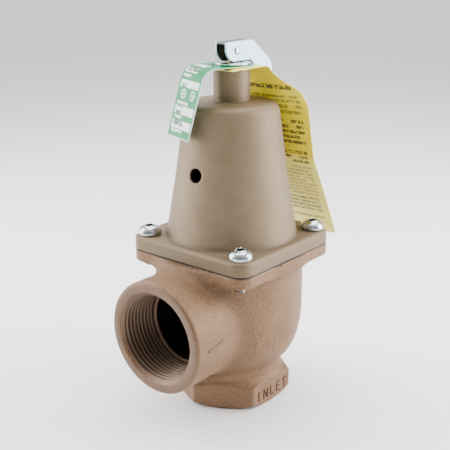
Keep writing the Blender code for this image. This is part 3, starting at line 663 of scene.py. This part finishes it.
def bonnet_distance(points):
    sides = square_distance(points, FLANGE_HALF, FLANGE_CORNER)
    flange = round_max(sides, points[:, 2] - BONNET_FLANGE_TOP, 1.8)
    cast = smooth_min(turned_solid(points, bell_outline()), flange, 1.6)
    vent = np.maximum(vent_radius(points) - VENT_RADIUS, points[:, 1])
    cast = round_max(round_max(cast, -vent, 0.35), BONNET_BORE - stem_radius(points), 0.3)
    hollow = turned_solid(points, bell_hollow_outline())
    cast = np.maximum(np.maximum(cast, -hollow), BONNET_BOTTOM - points[:, 2])
    return round_max(cast, -screw_hole_distance(points), 0.3)


def slopes(points, distance, value):
    step = 0.02
    return np.stack([(distance(points + step * axis) - value) / step for axis in np.eye(3)], axis=1)


def settle(points, distance, rounds):
    """Move points to where the distance is zero."""
    for _ in range(rounds):
        value = distance(points)
        slope = slopes(points, distance, value)
        points = points - slope * (value / np.maximum((slope ** 2).sum(axis=1), 0.3))[:, None]
    return points


def relaxed(points, edges):
    """Points moved halfway to the mean of their neighbours."""
    here, there = np.concatenate([edges, edges[:, ::-1]]).T
    count = np.bincount(here, minlength=len(points))
    total = np.stack([np.bincount(here, points[there, k], len(points)) for k in range(3)], axis=1)
    return points + 0.5 * (total / np.maximum(count, 1)[:, None] - points)


# ---- meshes

@contextlib.contextmanager
def editing(mesh):
    """The mesh as a bmesh, written back at the end."""
    bm = bmesh.new()
    bm.from_mesh(mesh)
    yield bm
    bm.to_mesh(mesh)
    bm.free()


def applied(obj):
    """An object's mesh with its modifiers applied."""
    return bpy.data.meshes.new_from_object(obj.evaluated_get(bpy.context.evaluated_depsgraph_get()))


def points_of(mesh):
    flat = np.empty(len(mesh.vertices) * 3, np.float32)
    mesh.vertices.foreach_get("co", flat)
    return (flat.reshape(-1, 3) - AXIS) / MM


def set_points(mesh, points):
    mesh.vertices.foreach_set("co", (points * MM + AXIS).astype(np.float32).ravel())
    mesh.update()


def edges_of(mesh):
    flat = np.empty(len(mesh.edges) * 2, np.int32)
    mesh.edges.foreach_get("vertices", flat)
    return flat.reshape(-1, 2)


def fine_copy(node, size):
    """A CAD node's mesh cut into even quads of that size."""
    mesh = frame["nodes"][node].data.copy()
    with editing(mesh) as bm:
        bmesh.ops.remove_doubles(bm, verts=bm.verts, dist=0.001 * MM)
    obj = new_object(node + "_fine", mesh)
    remesh = obj.modifiers.new("Quads", "REMESH")
    remesh.mode = "VOXEL"
    remesh.voxel_size = size * MM
    fine = applied(obj)
    bpy.data.objects.remove(obj)
    fine.materials.clear()
    return fine


def sculpted(node, size, distance, last_rounds):
    """A fine copy of a node, and its points settled, evened out and settled again."""
    mesh = fine_copy(node, size)
    points = relaxed(settle(points_of(mesh), distance, 4), edges_of(mesh))
    return mesh, settle(points, distance, last_rounds)


def set_attribute(mesh, name, values):
    attribute = mesh.attributes.new(name, "FLOAT", "POINT")
    attribute.data.foreach_set("value", np.asarray(values, np.float32))


def lumps(points, size, seed):
    """Gentle noise from -1 to 1 at each point."""
    shift = Vector((seed, seed * 2, seed * 3))
    return np.array([noise.noise(Vector(p) / size + shift) for p in points])


def stroke_distance(points, strokes):
    """Distance from each point to the nearest of the lines, each a list of points."""
    nearest = np.full(len(points), np.inf)
    for line in strokes:
        for start, end in zip(line, line[1:]):
            run = end - start
            share = np.clip((points - start) @ run / max(run @ run, 1e-9), 0, 1)
            nearest = np.minimum(nearest, np.linalg.norm(points - start - share[:, None] * run, axis=1))
    return nearest


def subdivide_near(mesh, strokes, reach, cuts):
    """Cut the faces round the strokes into smaller ones."""
    near = stroke_distance(points_of(mesh), strokes) < reach
    with editing(mesh) as bm:
        edges = [edge for edge in bm.edges if near[edge.verts[0].index] and near[edge.verts[1].index]]
        bmesh.ops.subdivide_edges(bm, edges=edges, cuts=cuts, use_grid_fill=True)


def ring_faces(rings, columns, closed):
    """Quads between rings of points, the last joined to the first where closed."""
    faces = []
    for row in range(rings if closed else rings - 1):
        ahead = (row + 1) % rings
        for column in range(columns):
            right = (column + 1) % columns
            faces.append((row * columns + column, row * columns + right,
                          ahead * columns + right, ahead * columns + column))
    return faces


class Stock:
    """Points and faces gathered for one mesh."""

    def __init__(self):
        self.points, self.faces, self.finish_of = [], [], []
        self.count = 0

    def add(self, points, faces, finish=0):
        self.points.append(np.asarray(points, float).reshape(-1, 3))
        self.faces += [tuple(corner + self.count for corner in face) for face in faces]
        self.finish_of += [finish] * len(faces)
        self.count += len(self.points[-1])

    def loft(self, rings, finish=0, closed=False):
        """Rings of points joined into a skin. An open one gets a cap at each end."""
        rings = np.asarray(rings, float)
        rows, columns = rings.shape[:2]
        faces = ring_faces(rows, columns, closed)
        if not closed:
            faces += [tuple(range(columns))[::-1], tuple(range((rows - 1) * columns, rows * columns))]
        self.add(rings, faces, finish)

    def mesh(self, materials, smooth_below=40.0):
        mesh = bpy.data.meshes.new("piece")
        mesh.from_pydata(np.concatenate(self.points) * MM + AXIS, [], self.faces)
        with editing(mesh) as bm:
            bmesh.ops.recalc_face_normals(bm, faces=bm.faces)
        shade(mesh, materials, smooth_below)
        mesh.polygons.foreach_set("material_index", self.finish_of)
        return mesh


def shade(mesh, materials, smooth_below):
    """Smooth shading, apart from the edges that turn more than smooth_below degrees."""
    for material in materials:
        mesh.materials.append(material)
    mesh.shade_smooth()
    mesh.set_sharp_from_angle(angle=math.radians(smooth_below))


def lofted(rings, material, closed=False, smooth_below=40.0):
    """The mesh of a piece that is one loft."""
    stock = Stock()
    stock.loft(rings, closed=closed)
    return stock.mesh([material], smooth_below)


def add_piece(name, mesh, body, slot, *replaced):
    mesh.name = name
    obj = new_object(name, mesh)
    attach(obj, body)
    if replaced:
        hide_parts(*replaced)
    return obj


def around(columns):
    """That many angles, evenly spaced over a whole turn."""
    return np.linspace(0, math.tau, columns, endpoint=False)


def turned_rings(outline, angles, middle=(0.0, 0.0)):
    """A ring of points round a vertical axis for each radius and height. A radius may be a number
    or one for each angle."""
    return np.array([np.stack([middle[0] + radius * np.cos(angles), middle[1] + radius * np.sin(angles),
                               np.full(len(angles), float(height))], axis=1) for radius, height in outline])


def thread_radius(angles, along, pitch, minor, major):
    """A pointed thread's radius, its crests and roots cut flat."""
    phase = (along / pitch - angles / math.tau) % 1.0
    ramp = np.clip((0.5 - np.abs(phase - 0.5)) * 2.5 - 0.22, 0, 1)
    return minor + (major - minor) * ramp


# ---- castings

def threaded_mouth(face_radius, depth):
    """Rings of points round a socket that opens downwards: its faced end, chamfer and taper pipe
    thread, then back through the metal behind them."""
    angles = around(160)
    rings = [(face_radius + 0.4, 0.8), (face_radius, 0.06), (face_radius - 0.15, 0.0),
             (THREAD_MOUTH + 0.15, 0.0), (THREAD_MOUTH, 0.1)]
    for along in np.arange(0.75, depth - 0.3, THREAD_PITCH / 14):
        cut = thread_radius(angles, along, THREAD_PITCH, THREAD_MINOR, THREAD_MAJOR)
        chamfer = THREAD_MOUTH - (along - 0.1) * 0.9
        run_out = np.interp(along, [depth - 3, depth - 0.4], [1.0, 0.0])
        cut = THREAD_MINOR + (cut - THREAD_MINOR) * run_out - along * THREAD_TAPER
        rings.append((np.maximum(cut, chamfer), along))
    rings += [(THREAD_MINOR - depth * THREAD_TAPER, depth), (THREAD_MINOR - 1.6, depth + 0.6),
              (THREAD_MINOR - 1.6, depth + 1.2), (THREAD_MAJOR + 0.6, depth + 1.2),
              (THREAD_MAJOR + 0.6, 1.4), (face_radius, 1.4)]
    return turned_rings(rings, angles)


def outlet_mouth():
    across, up, depth = np.moveaxis(threaded_mouth(OUTLET_LAND, OUTLET_THREAD), 2, 0)
    return np.stack([across, OUTLET_FACE + depth, OUTLET_HEIGHT + up], axis=2)


LETTER_STROKES = {      # on a grid about two wide and four high
    "I": [[(1, 0), (1, 4)]],
    "N": [[(0, 0), (0, 4), (2.2, 0), (2.2, 4)]],
    "L": [[(0, 4), (0, 0), (1.8, 0)]],
    "E": [[(1.9, 0), (0, 0), (0, 4), (1.9, 4)], [(0, 2), (1.6, 2)]],
    "T": [[(1, 0), (1, 4)], [(-0.2, 4), (2.2, 4)]],
    "1": [[(0.3, 3.2), (1, 4), (1, 0)]],
    "4": [[(1.5, 0), (1.5, 4), (0, 1.3), (2.1, 1.3)]],
}


def port_word():
    """The port's name, cut into the wrench flat that faces +X."""
    unit, spacing = 1.2, 5.1
    strokes = []
    for number, letter in enumerate("INLET"):
        left = (number - 2) * spacing - unit
        for line in LETTER_STROKES[letter]:
            strokes.append([np.array([HEX_FLAT, left + u * unit, 3.1 + v * unit]) for u, v in line])
    return strokes


def wrapped(line, radius):
    """A line of (bearing in degrees, distance) round a cylinder, with five points to each stretch:
    the two coordinates round its axis, and the distance along it."""
    ends = np.array(line, float)
    bearing, along = np.concatenate([start + (end - start) * np.linspace(0, 1, 5)[:, None]
                                     for start, end in zip(ends, ends[1:])]).T
    return radius * np.cos(np.radians(bearing)), radius * np.sin(np.radians(bearing)), along


def on_bulb(line):
    """A line of (bearing, height) laid on the casting."""
    return settle(np.stack(wrapped(line, BULB_RADIUS), axis=1), body_distance, 6)


def on_boss(line):
    """A line of (bearing, depth behind the face) laid on the outlet boss."""
    across, up, depth = wrapped(line, OUTLET_RADIUS)
    points = np.stack([across, OUTLET_FACE + depth, OUTLET_HEIGHT + up], axis=1)
    return settle(points, body_skin_distance, 6)


def cast_marks():
    """A flow dash on the outlet boss and the pipe size on the bulb, all raised."""
    marks = [on_boss([(-1.5, 7.5), (2.2, 17.0)])]
    for bearing, letter, low, unit in ((-34, "1", 32.0, 1.6), (-22, "1", 35.0, 0.9), (-15, "4", 31.5, 0.9)):
        for line in LETTER_STROKES[letter]:
            marks.append(on_bulb([(bearing + u * unit * 1.9, low + v * unit) for u, v in line]))
    return marks


def make_body(cast, machined):
    mesh, points = sculpted("valve_body", 0.7, body_distance, 2)
    set_points(mesh, points)
    word, marks = port_word(), cast_marks()
    subdivide_near(mesh, word, 1.5, 3)
    subdivide_near(mesh, marks, 1.6, 2)
    points = points_of(mesh)
    sharp, smooth = body_solids(points)
    value = body_distance(points)
    normal = slopes(points, body_distance, value)
    skin = (np.abs(smooth) < 0.3) & (points[:, 2] < FLANGE_TOP - 0.3)
    rough = 0.10 * lumps(points, 7.0, 1) + 0.045 * lumps(points, 1.7, 2)
    groove = np.clip(1.25 - stroke_distance(points, word) / 0.5, 0, 1)
    dash, figures = (np.clip(1.3 - stroke_distance(points, group) / 0.75, 0, 1)
                     for group in (marks[:1], marks[1:]))
    ridge = np.maximum(dash, FIGURE_SHARE * figures)
    rise = np.where(skin, rough + MARK_HEIGHT * ridge, 0) - WORD_DEPTH * groove
    set_points(mesh, points + normal * rise[:, None])
    # Painted shade: darker in the fillets, in the cut letters and at the raised marks' edges, and near-black
    # inside the hollows.
    fillet = np.clip((sharp - smooth) / 1.6, 0, 1)
    inside = np.where((smooth < -1.0) & (np.abs(body_hollow_distance(points)) < 0.6), 1.0, 0.0)
    mark_edge_shade = 3.2 * dash * (1 - dash) + 0.5 * figures * (1 - figures)
    cavity_shade = np.clip(np.minimum(0.3 * fillet + groove + mark_edge_shade, 0.9) + inside, 0, 1)
    stock = Stock()
    stock.add(points_of(mesh), [tuple(face.vertices) for face in mesh.polygons])
    stock.loft(outlet_mouth(), finish=1, closed=True)
    stock.loft(threaded_mouth(INLET_LAND, INLET_THREAD), finish=1, closed=True)
    whole = stock.mesh([cast, machined], 50.0)
    points = points_of(whole)[len(cavity_shade):]
    at_outlet = points[:, 1] < OUTLET_FACE + 25
    depth = np.where(at_outlet, points[:, 1] - OUTLET_FACE, points[:, 2])
    radius = np.where(at_outlet, outlet_radius(points), stem_radius(points))
    # Painted shade inside the sockets, darkest at the thread roots.
    root = np.clip((radius + depth * THREAD_TAPER - THREAD_MINOR) / (THREAD_MAJOR - THREAD_MINOR), 0, 1)
    groove = np.where((depth > 1.6) & (radius < THREAD_MAJOR + 0.2), 0.1 + 0.85 * root, 0.0)
    set_attribute(whole, "cavity_shade", np.concatenate([cavity_shade, groove]))
    add_piece("valve_body_cast", whole, "housing", "cast_bronze", "valve_body")


def make_bonnet(cast):
    mesh, points = sculpted("bonnet", 0.6, bonnet_distance, 3)
    normal = slopes(points, bonnet_distance, bonnet_distance(points))
    outside = turned_solid(points, bell_hollow_outline()) > 0.5
    skin = outside & (points[:, 2] > BONNET_BOTTOM + 0.4)
    rough = 0.07 * lumps(points, 9.0, 3) + 0.02 * lumps(points, 1.5, 4)
    set_points(mesh, points + normal * np.where(skin, rough, 0)[:, None])
    radius = stem_radius(points)
    # Painted shade where the bell meets the flange and the collar, over the flange, and near-black in the
    # vent and inside the bell.
    shade_at_foot = np.exp(-((radius - BELL_FOOT) / 1.2) ** 2 - ((points[:, 2] - BONNET_FLANGE_TOP) / 1.5) ** 2)
    shade_at_collar = np.exp(-((radius - BONNET_NECK) / 1.0) ** 2 - ((points[:, 2] - BELL_TOP) / 1.2) ** 2)
    flange = np.clip((BONNET_FLANGE_TOP + 0.5 - points[:, 2]) / 1.0, 0, 1) * 0.25
    vent = (vent_radius(points) < VENT_RADIUS + 0.12) & (points[:, 1] < 0)
    cavity_shade = np.clip(0.7 * shade_at_foot + 0.5 * shade_at_collar + flange, 0, 0.9)
    set_attribute(mesh, "cavity_shade", np.where(vent | ~outside, 1.0, cavity_shade))
    shade(mesh, [cast], 50.0)
    add_piece("bonnet_cast", mesh, "housing", "cast_bonnet", "bonnet")


# ---- screws, washer, pin, lever

def make_flange_screw(number, steel):
    """A dome-headed screw with a six-lobed recess, its thread showing below the body's flange."""
    node = f"flange_screw_{number}"
    low, high = node_box(node)
    middle = (low[:2] + high[:2]) / 2
    angles = around(96) + 0.4 * number
    seat, top, tip = BONNET_FLANGE_TOP + 0.06, high[2], low[2]
    rim = seat + 0.75
    lobes = RECESS_RADIUS + RECESS_LOBE * np.cos(6 * angles)
    rings = [(0.02, top - 2.3), (lobes * 0.5, top - 2.3), (lobes * 0.93, top - 2.25), (lobes, top - 2.0),
             (lobes, top - 0.45), (lobes + 0.08, top - 0.3), (lobes * 0.6 + 1.3, top - 0.14)]
    for turn in np.radians(np.linspace(32, 88, 12)):
        rings.append((SCREW_HEAD * math.sin(turn), rim + (top - rim) * math.cos(turn) ** 0.8))
    rings += [(SCREW_HEAD, seat + 0.5), (SCREW_HEAD - 0.13, seat + 0.12), (SCREW_HEAD - 0.35, seat),
              (SCREW_SHANK + 0.05, seat), (SCREW_SHANK, seat - 0.3), (SCREW_SHANK, FLANGE_BOTTOM + 1.5)]
    for height in np.arange(FLANGE_BOTTOM + 1.4, tip + 0.05, -0.09):
        cut = thread_radius(angles, -height, SCREW_PITCH, SCREW_SHANK, SCREW_ROOT)
        rings.append((np.minimum(cut, 2.35 + (height - tip) * 1.1), height))
    rings.append((2.0, tip))
    mesh = lofted(turned_rings(rings, angles, middle), steel, smooth_below=35.0)
    x, y, z = points_of(mesh).T
    # Painted shade in the six-lobed recess.
    within = np.hypot(x - middle[0], y - middle[1]) < RECESS_RADIUS + RECESS_LOBE + 0.1
    set_attribute(mesh, "inside", within & (z < top - 0.4) & (z > seat))
    add_piece(node + "_zinc", mesh, "housing", "bright_steel", node)


def make_washer(steel):
    low, high = node_box("lever_washer")
    bore, outer = 2.5, high[0]
    outline = [(bore, low[2]), (outer - 0.05, low[2]), (outer, low[2] + 0.25), (outer, high[2] - 0.35),
               (outer - 0.35, high[2] - 0.05), (outer - 1.2, high[2]), (bore + 0.3, high[2]),
               (bore, high[2] - 0.2)]
    mesh = lofted(turned_rings(outline, around(128)), steel, closed=True)
    add_piece("lever_washer_zinc", mesh, "housing", "bright_steel", "lever_washer")


def make_pin(steel):
    """A rivet along X: a domed head, and an end spread over the other cheek."""
    low, high = node_box("lever_pin")
    height, cheek, shank = PIVOT[2] / MM, 3.35, 1.2
    outline = [(0.01, high[0]), (0.8, high[0] - 0.04), (1.45, high[0] - 0.16), (1.85, high[0] - 0.36),
               (2.0, cheek + 0.1), (1.95, cheek + 0.02), (shank, cheek), (shank, -cheek),
               (1.65, -cheek - 0.02), (1.7, -cheek - 0.15), (1.35, low[0] + 0.08), (0.7, low[0]),
               (0.5, low[0] + 0.2), (0.01, low[0] + 0.3)]
    across, up, along = np.moveaxis(turned_rings(outline, around(48)), 2, 0)
    mesh = lofted(np.stack([along, across, up + height], axis=2), steel, smooth_below=50.0)
    add_piece("lever_pin_zinc", mesh, "stem", "bright_steel", "lever_pin")


def make_lever(zinc):
    """The pressed channel, its sheared edges rolled a little round."""
    mesh = fine_copy("lever", 0.22)
    edges = edges_of(mesh)
    points = points_of(mesh)
    for _ in range(5):
        points = relaxed(points, edges)
    points[:, 0] += 0.05 * lumps(points, 6.0, 5)
    set_points(mesh, points)
    # Painted shade between the cheeks.
    shade_between_cheeks = np.clip((2.6 - np.abs(points[:, 0])) / 0.3, 0, 1)
    set_attribute(mesh, "inside", shade_between_cheeks)
    mesh.materials.append(zinc)
    mesh.shade_smooth()
    add_piece("lever_pressed", mesh, "lever", "lever_plate", "lever")


# ---- tags

CAUTION_LEVEL, RATING_LEVEL = 161.8, 162.3
CAUTION_ROUTE = [(-10.5, CAUTION_LEVEL - 0.8, 0), (-8.0, CAUTION_LEVEL, 4), (10.5, CAUTION_LEVEL, 3),
                 (16.0, 151.9, 4), (22.6, 142.9, 12), (30.2, 116.5, 3), (54.2, 72.3, 0)]
RATING_ROUTE = [(-10.0, RATING_LEVEL, 0), (19.3, RATING_LEVEL, 7.6), (27.7, 131.1, 0)]
RATING_HALF_WIDTH = 10.2
TAG_HALF_THICK = 0.16
TAG_HOLE = 3.0
TAG_ROW, TAG_COLUMN = 0.55, 0.6     # the sheets' cells, along and across


def evenly(line, spacing):
    """Points along a line, equally far apart, and how far along each lies."""
    line = np.array(line)
    travelled = np.concatenate([[0], np.cumsum(np.linalg.norm(np.diff(line, axis=0), axis=1))])
    along = np.linspace(0, travelled[-1], round(travelled[-1] / spacing) + 1)
    return np.stack([np.interp(along, travelled, line[:, k]) for k in range(2)], axis=1), along


def tag_line(route):
    return evenly(rounded(route, 14), TAG_ROW)


def tag_mesh(route, half_width_at, sag, turn, material, shape=None):
    """A thin bent sheet whose middle line follows route, bowed across by sag, with a hole for the
    stem."""
    line, along = tag_line(route)
    ahead = np.gradient(line, axis=0)
    ahead /= np.linalg.norm(ahead, axis=1)[:, None]
    half = half_width_at(along)
    columns = 2 * round(half.max() / TAG_COLUMN) + 1
    across = half[:, None] * np.linspace(-1, 1, columns)
    bow = sag(along)[:, None] * (across / half.max()) ** 2
    sides = []
    for side in (TAG_HALF_THICK, -TAG_HALF_THICK):
        out = line[:, :1] + (bow + side) * ahead[:, 1:]
        up = line[:, 1:] - (bow + side) * ahead[:, :1]
        sheet = np.stack([across, out, up], axis=2)
        sides.append(shape(sheet, along) if shape else sheet)
    rows = len(along)
    flat = np.hypot(across, line[:, :1])
    keep = [(r, c) for r in range(rows - 1) for c in range(columns - 1)
            if flat[r:r + 2, c:c + 2].max() > TAG_HOLE or line[r, 1] < RATING_LEVEL - 2]
    at_hole = (flat < TAG_HOLE) & (line[:, 1:] > RATING_LEVEL - 2)
    grow = np.where(at_hole, TAG_HOLE / np.maximum(flat, 0.3), 1.0)
    for sheet in sides:
        sheet[..., :2] *= grow[..., None]
    count = rows * columns
    faces = []
    used = set(keep)
    for r, c in keep:
        a, e = r * columns + c, (r + 1) * columns + c
        b, d = a + 1, e + 1
        faces += [(a, b, d, e), (count + e, count + d, count + b, count + a)]
        for p, q, other in ((a, b, (r - 1, c)), (b, d, (r, c + 1)), (d, e, (r + 1, c)), (e, a, (r, c - 1))):
            if other not in used:
                faces.append((q, p, count + p, count + q))
    x, y, z = np.reshape(sides, (-1, 3)).T
    c, s = math.cos(turn), math.sin(turn)
    stock = Stock()
    stock.add(np.stack([x * c - y * s, x * s + y * c, z], axis=1), faces)
    mesh = stock.mesh([material])
    to_edge = np.minimum(half[:, None] - np.abs(across), np.minimum(along, along[-1] - along)[:, None])
    for title, values in (("across", across), ("along", np.broadcast_to(along[:, None], across.shape)),
                          ("edge", np.clip(1.2 - to_edge / 0.35, 0, 1))):
        set_attribute(mesh, title, np.tile(values.ravel(), 2))
    return mesh


def caution_half_width(along):
    return np.interp(along, [0, 3.0, 20, 24.5, 29, 32, 36], [9.5, 12.5, 12.5, 14.2, 18.2, 23.2, 25.3])


def caution_shape(sheet, along):
    """A slight twist down its length, and one lifted corner."""
    heading = np.radians(np.interp(along, [22, 45, 75, 121], [0, 2.5, 0.5, -3.0]))[:, None]
    x, y = sheet[..., 0].copy(), sheet[..., 1]
    sheet[..., 0] = x * np.cos(heading)
    sheet[..., 1] = y + x * np.sin(heading)
    lift = np.clip((along[:, None] - 80) / 41, 0, 1) ** 2 * np.clip(x / 25, -0.3, 1)
    sheet[..., 1] -= 1.2 * np.abs(lift)
    return sheet


def rating_half_width(along):
    short = np.maximum(0, RATING_HALF_WIDTH - along - 0.8)
    return np.sqrt(RATING_HALF_WIDTH ** 2 - short ** 2)


def make_tags():
    caution = tag_mesh(
        CAUTION_ROUTE, caution_half_width,
        lambda along: np.interp(along, [0, 24, 45, 72, 121], [0, 0, -1.6, -0.5, -1.8]), 0.0,
        caution_finish(), caution_shape)
    add_piece("caution_tag_paper", caution, "caution_tag", "yellow_tag", "caution_tag")
    length = tag_line(RATING_ROUTE)[1][-1]
    rating = tag_mesh(
        RATING_ROUTE, rating_half_width,
        lambda along: np.interp(along, [0, 24, 34, length], [0, 0, -0.3, -0.7]), math.radians(160),
        rating_finish(length))
    add_piece("rating_tag_paper", rating, "rating_tag", "green_tag", "rating_tag")


# ---- diaphragm and spring

def make_diaphragm(rubber):
    """The square rim clamped between the flanges, and the membrane."""
    low, high = node_box("diaphragm")
    bottom, top = high[2] - 0.6, high[2]
    inner = 26.0
    angles = around(160)
    ring = turned_rings([(1.0, 0.0)], angles)[0]
    reach = np.full(len(angles), 60.0)
    for _ in range(12):
        reach -= square_distance(ring * reach[:, None], high[0], FLANGE_CORNER - 0.3)
    loops = turned_rings([(inner, bottom), (reach, bottom), (reach, top), (inner, top)], angles)
    rim = add_piece("diaphragm_rim", lofted(loops, rubber, closed=True), "housing", "black_rubber",
                    "diaphragm")
    stock = Stock()
    half = SCREW_SPACING / 2
    for place in ((half, half), (-half, half), (-half, -half), (half, -half)):
        stock.loft(turned_rings([(SCREW_HOLE, bottom - 2), (SCREW_HOLE, top + 2)], around(48), place))
    holes = new_object("diaphragm_holes", stock.mesh([]))
    cut = rim.modifiers.new("Holes", "BOOLEAN")
    cut.operation, cut.solver, cut.object = "DIFFERENCE", "EXACT", holes
    mesh = applied(rim)
    rim.modifiers.clear()
    rim.data = mesh
    bpy.data.objects.remove(holes)

    sunk, bore = low[2], 3.4
    outline = rounded([
        (bore, sunk + 0.6, 0), (20.6, sunk + 0.6, 1.0), (22.4, top - 1.3, 1.2), (24.0, top, 1.0),
        (inner, top, 0), (inner, bottom, 0), (24.4, bottom, 1.6), (22.9, sunk + 0.7, 1.0),
        (21.2, sunk, 0.8), (bore, sunk, 0)])
    membrane = lofted(turned_rings(outline, around(128)), rubber, closed=True)
    piece = add_piece("diaphragm_membrane", membrane, "housing", "black_rubber")
    rim_middle = in_scene((0, 0, (bottom + top) / 2))
    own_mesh(piece)


def make_spring(wire):
    """Round wire in an even helix, its end coils closed."""
    low, high = node_box("spring")
    radius, coil = 2.0, high[0] - 2.0
    closed, active, per_turn = 0.9, 4.6, 48
    closed_pitch = 2 * radius * 1.08
    length = 52.8
    bottom, top = low[2] + radius, low[2] + length - radius
    pitch = (top - bottom - 2 * closed * closed_pitch) / active
    turns = np.arange(0, 2 * closed + active, 1 / per_turn)
    middle = np.clip(turns - closed, 0, active)
    height = bottom + (turns - middle) * closed_pitch + middle * pitch
    angles = around(20)
    out, up = coil + radius * np.cos(angles), radius * np.sin(angles)
    rings = [np.stack([out * math.cos(turn), out * math.sin(turn), level + up], axis=1)
             for turn, level in zip(turns * math.tau, height)]
    piece = add_piece("spring_wire", lofted(rings, wire), "housing", "spring_steel", "spring")
    tuple(in_scene((0, 0, top + radius)))
    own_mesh(piece)


finishes = {
    "body": cast_finish("sand_cast_bronze", (0.120, 0.062, 0.030), (0.25, 0.150, 0.085),
                        (0.055, 0.025, 0.011), 0.75, 0.22, 0.35, 0.55),
    "bonnet": cast_finish("fine_cast_bronze", (0.150, 0.104, 0.058), (0.215, 0.160, 0.100),
                          (0.080, 0.050, 0.028), 0.5, 0.07, 0.35, 0.5),
    "machined": turned_finish("machined_bronze_face", (0.105, 0.058, 0.032), (0.165, 0.098, 0.058),
                              0.45, 0.45, "y"),
    "turned": turned_finish("machined_bronze_turned", (0.46, 0.30, 0.16), (0.66, 0.47, 0.27), 0.9, 0.3, "z"),
    "steel": sheet_finish("zinc_plate", (0.30, 0.32, 0.33), (0.62, 0.65, 0.67), 1.0, 0.13),
    "lever": sheet_finish("lever_zinc", (0.30, 0.42, 0.50), (0.40, 0.54, 0.64), 0.85, 0.36),
    "stem": turned_finish("stem_brass", (0.45, 0.36, 0.16), (0.62, 0.52, 0.27), 1.0, 0.28, "z"),
    "spring": turned_finish("spring_steel_wire", (0.10, 0.10, 0.11), (0.22, 0.22, 0.23), 0.9, 0.4, "z"),
    "rubber": rubber_finish("black_rubber_sheet", (0.012, 0.012, 0.012), (0.03, 0.03, 0.03)),
}

make_camera()
make_studio()
make_floor(floor_finish())
make_body(finishes["body"], finishes["machined"])
make_bonnet(finishes["bonnet"])
for number in range(1, 5):
    make_flange_screw(number, finishes["steel"])
make_washer(finishes["steel"])
make_pin(finishes["steel"])
make_lever(finishes["lever"])
make_tags()
make_diaphragm(finishes["rubber"])
make_spring(finishes["spring"])
for finish, nodes in {"turned": ("disc_holder", "pressure_plate", "spring_button", "adjusting_screw"),
                      "stem": ("stem",), "steel": ("stem_nut", "disc_washer", "disc_screw"),
                      "rubber": ("seat_disc",)}.items():
    for node in nodes:
        frame["nodes"][node].data.materials.clear()
        frame["nodes"][node].data.materials.append(finishes[finish])
